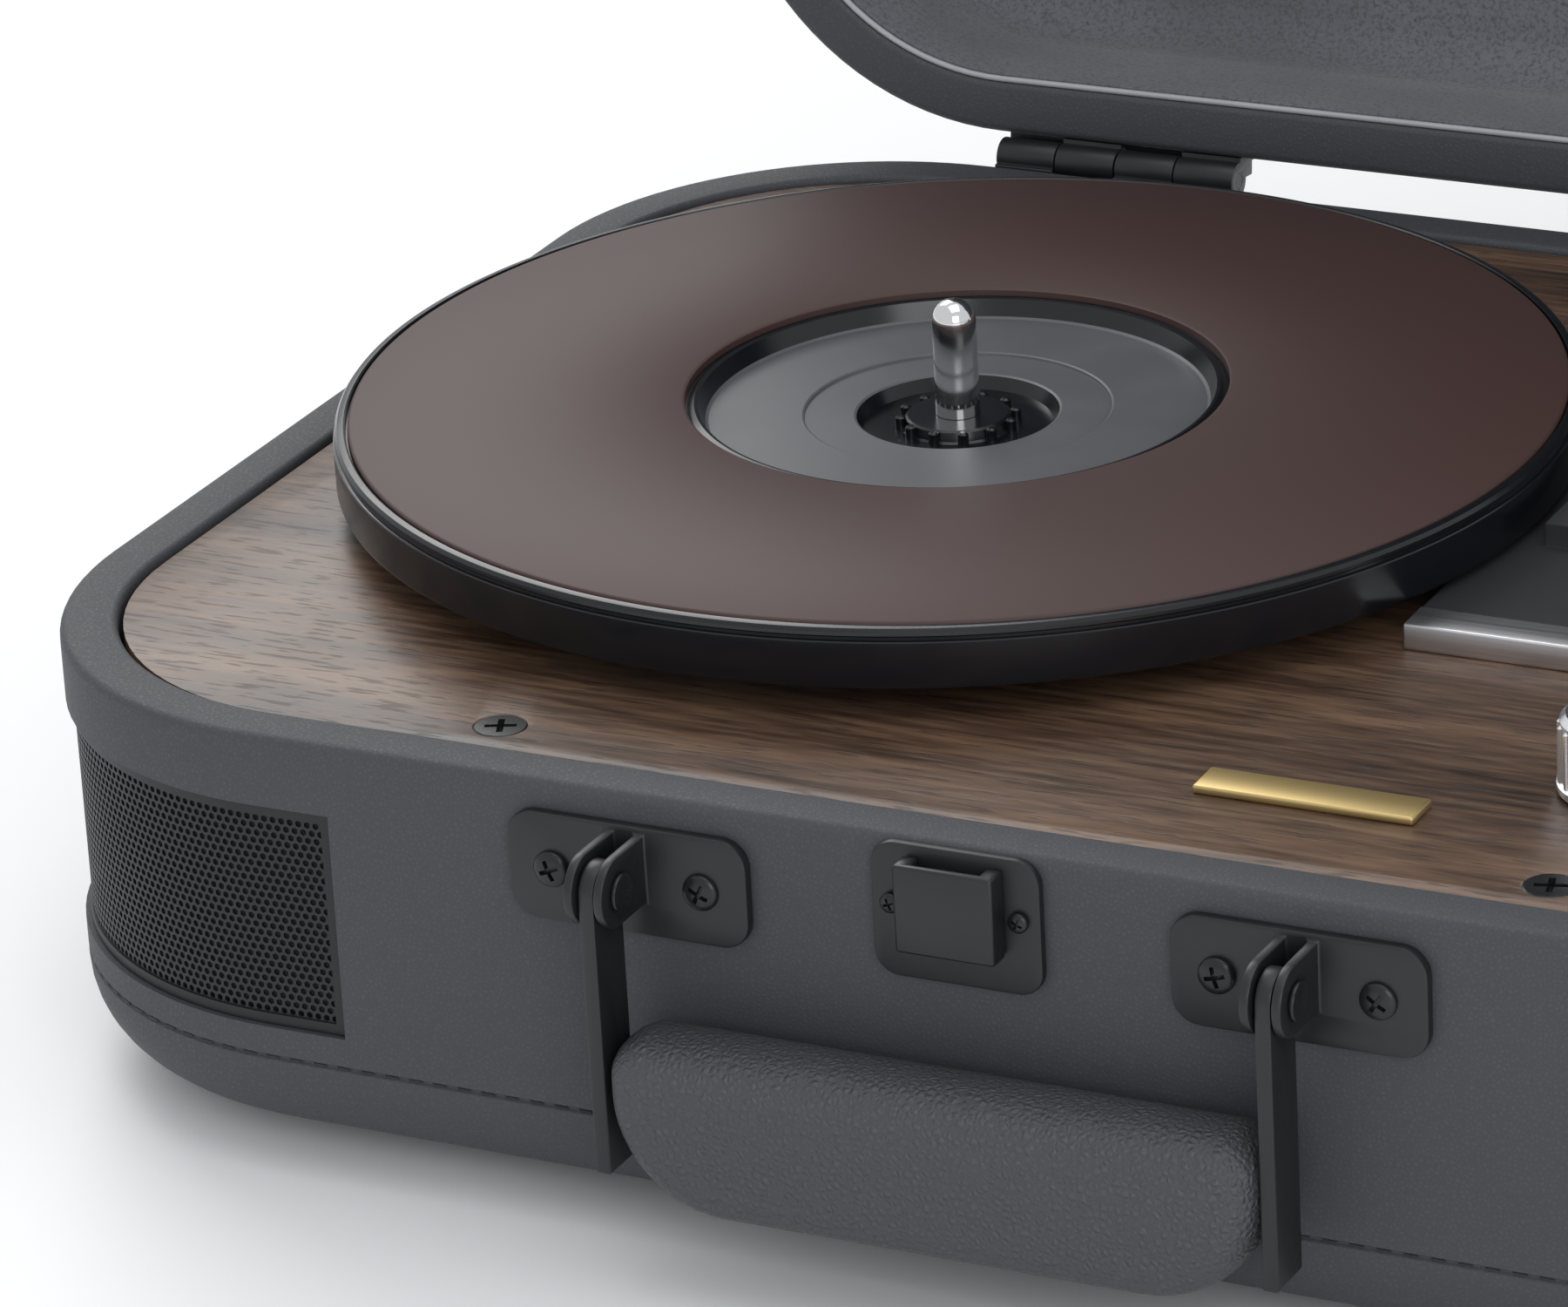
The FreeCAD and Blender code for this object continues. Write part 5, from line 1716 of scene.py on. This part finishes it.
@dataclass
class Lock:
    """Lock plate, catch and screws."""

    def build(self, repeater: Repeater) -> None:
        """Dress the lock.

        Args:
            repeater: sets one part down on many points.
        """
        soften("lock_plate", Dress.METAL, 0.35)
        soften("lock_slider", Dress.METAL, 0.5)
        Fasteners("lock_screws", Facing.FRONT, 0.9).build(repeater)


# ----------------------------------------------------------------------------
# Tonearm, controls, inside and rear
# ----------------------------------------------------------------------------
@dataclass
class Tonearm:
    """The arm with everything it turns on and rests on."""

    plan: dict[str, tuple[Dress, float]] = field(default_factory=lambda: {
        "tonearm_turret": (Dress.PLASTIC, 0.5),
        "tonearm_yoke": (Dress.PLASTIC, 0.4),
        "tonearm_tube": (Dress.TUBE, 0.3),
        "counterweight": (Dress.PLASTIC, 0.7),
        "headshell": (Dress.PLASTIC, 0.5),
        "cartridge": (Dress.PLASTIC, 0.4),
        "arm_pivot_pin": (Dress.STEEL, 0.2),
        "arm_rest": (Dress.PLASTIC, 0.5),
        "cue_lever": (Dress.PLASTIC, 0.4),
        "cue_lift": (Dress.PLASTIC, 0.3),
    })

    def build(self) -> None:
        """Dress the arm's pieces."""
        for node, (dress, edge) in self.plan.items():
            soften(node, dress, edge)
        paint_node("stylus", Dress.STYLUS)


@dataclass
class Controls:
    """Knobs and switches."""

    grips: int = 24

    def knob(self, node: str, repeater: Repeater) -> None:
        """A turned knob with a fluted skirt and a pointer line.

        Args:
            node: the CAD node.
            repeater: sets one part down on many points.
        """
        low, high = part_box(node)
        axis = Vector(((low.x + high.x) / 2, (low.y + high.y) / 2, 0))
        radius = (high.x - low.x) / 2 / MM
        top = high.z / MM
        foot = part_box("deck_panel")[1].z / MM + 0.5
        body = radius - 0.7
        profile = [
            (0, low.z / MM), (3, low.z / MM), (3, foot), (radius - 0.2, foot),
            (radius - 0.1, foot + 0.3), (radius - 0.1, foot + 1.2), (body, foot + 1.6),
            (body, top - 1.0), (body - 0.9, top), (body - 2.2, top - 0.35), (0, top - 0.35),
        ]
        turned = lathe(f"{node}_turned", profile, axis, [Dress.KNOB], 72, crease=28)
        stand_for(turned, node)
        rib = lathe(
            "flute", [(0, 0), (0.55, 0), (0.55, top - foot - 3.4), (0, top - foot - 2.8)],
            Vector(), [Dress.KNOB], 8,
        )
        places = []
        for i in range(self.grips):
            angle = math.tau * i / self.grips
            out = Vector((math.cos(angle), math.sin(angle), 0)) * (body - 0.1) * MM
            spot = axis + out + Vector((0, 0, (foot + 1.5) * MM))
            places.append((spot, Matrix.Rotation(angle, 3, "Z"), 1.0))
        flutes = repeater.repeat(f"{node}_flutes", rib, places, Dress.KNOB)
        bpy.data.objects.remove(rib)
        add_to(flutes, node)
        shape = bmesh.new()
        size = Vector((0.9 * MM, body * 0.62 * MM, 0.5 * MM))
        spot = axis + Vector((0, -body * 0.45 * MM, (top - 0.3) * MM))
        place = Matrix.Translation(spot) @ Matrix.Diagonal((*size, 1))
        bmesh.ops.create_cube(shape, size=1.0, matrix=place)
        add_to(from_bmesh(f"{node}_pointer", shape, [Dress.PLASTIC]), node)

    def build(self, repeater: Repeater) -> None:
        """Build the knobs and dress the switches.

        Args:
            repeater: sets one part down on many points.
        """
        for node in ("volume_knob", "mode_knob"):
            self.knob(node, repeater)
        soften("speed_lever", Dress.PLASTIC, 0.5)
        soften("autostop_switch", Dress.PLASTIC, 0.5)


@dataclass
class Fittings:
    """Hinges, feet, speakers, electronics and the rear panel."""

    painted: dict[str, Dress] = field(default_factory=lambda: {
        "speaker_baffles": Dress.PLASTIC,
        "speaker_cones": Dress.PAPER,
        "speaker_magnets": Dress.STEEL,
        "control_cans": Dress.STEEL,
        "main_board": Dress.BOARD,
        "audio_jacks": Dress.PLASTIC,
        "dc_jack": Dress.PLASTIC,
        "rca_jacks": Dress.BRASS,
        "hinge_pins": Dress.METAL,
    })

    def build(self, repeater: Repeater) -> None:
        """Dress the fittings.

        Args:
            repeater: sets one part down on many points.
        """
        for node, dress in self.painted.items():
            paint_node(node, dress)
        soften("hinge_base_leaves", Dress.METAL, 0.25)
        soften("rear_jack_panel", Dress.PLASTIC, 0.3)
        soften("base_feet", Dress.RUBBER, 0.6)
        Fasteners("hinge_base_screws", Facing.REAR).build(repeater)


# ----------------------------------------------------------------------------
# Studio
# ----------------------------------------------------------------------------
@dataclass
class Studio:
    """Pale floor, soft light and the camera."""

    place: Colour = (0.45814, -1.09554, 0.54624)
    heading: float = 27.459
    dip: float = 22.938
    tilt: float = -3.2006
    focal: float = 180.32

    def camera(self) -> None:
        """Set up the camera from its place, heading, dip and tilt."""
        data = bpy.data.cameras.new("camera")
        data.lens = self.focal
        data.sensor_width = 36.0
        data.clip_start = 0.05
        data.clip_end = 50.0
        made = bpy.data.objects.new("camera", data)
        bpy.context.scene.collection.objects.link(made)
        turn = Matrix.Rotation(math.radians(self.heading), 4, "Z")
        nod = Matrix.Rotation(math.radians(90 - self.dip), 4, "X")
        roll = Matrix.Rotation(math.radians(self.tilt), 4, "Z")
        made.matrix_world = Matrix.Translation(self.place) @ turn @ nod @ roll
        bpy.context.scene.camera = made

    def lamp(self, name: str, place: Colour, size: float, power: float, warmth: Colour) -> None:
        """Hang a square soft light that looks at the player.

        Args:
            name: the light's name.
            place: where it hangs.
            size: its side in metres.
            power: its power in watts.
            warmth: its colour.
        """
        data = bpy.data.lights.new(name, "AREA")
        data.size = size
        data.energy = power
        data.color = warmth
        made = bpy.data.objects.new(name, data)
        bpy.context.scene.collection.objects.link(made)
        made.location = place
        way = Vector((0, 0, 0.08)) - Vector(place)
        made.rotation_euler = way.to_track_quat("-Z", "Y").to_euler()

    def build(self) -> None:
        """Build the floor, the light and the camera."""
        mesh = bpy.data.meshes.new("floor")
        reach = 6.0
        corners = [(-reach, -reach, 0), (reach, -reach, 0), (reach, reach, 0), (-reach, reach, 0)]
        mesh.from_pydata(corners, [], [(0, 1, 2, 3)])
        floor = bpy.data.objects.new("floor", mesh)
        bpy.context.scene.collection.objects.link(floor)
        paint = Paint("pale_floor")
        soft = paint.noise(paint.where(), 3.0, 2)
        tint = paint.blend(soft, (0.93, 0.935, 0.94), (0.95, 0.95, 0.95))
        mesh.materials.append(paint.shade(Base_Color=tint, Roughness=0.55))
        world = bpy.data.worlds.new("studio")
        world.use_nodes = True
        sky = world.node_tree.nodes["Background"]
        sky.inputs["Color"].default_value = (0.95, 0.97, 1.0, 1.0)
        sky.inputs["Strength"].default_value = 0.72
        bpy.context.scene.world = world
        self.lamp("key", (-1.3, 1.2, 1.5), 1.3, 17, (1.0, 0.99, 0.97))
        self.lamp("top", (0.2, -0.2, 2.1), 1.6, 8, (1.0, 1.0, 1.0))
        self.lamp("front", (1.2, -1.7, 0.9), 1.2, 14, (0.97, 0.98, 1.0))
        bpy.context.scene.view_settings.view_transform = "Standard"
        self.camera()


def main() -> None:
    """Build the player's sub-assemblies in order."""
    logging.basicConfig(level=logging.INFO, format="%(name)s: %(message)s")
    repeater = Repeater()
    perforator = Perforator()
    case = Case()
    case.build(repeater)
    for side in (-1, 1):
        Grille(case, side).build(perforator)
    Lid(case).build(repeater)
    Deck().build(repeater)
    Turntable().build(repeater)
    Handle().build(repeater)
    Lock().build(repeater)
    Tonearm().build()
    Controls().build(repeater)
    Fittings().build(repeater)
    Studio().build()


if __name__ == "__main__":
    main()
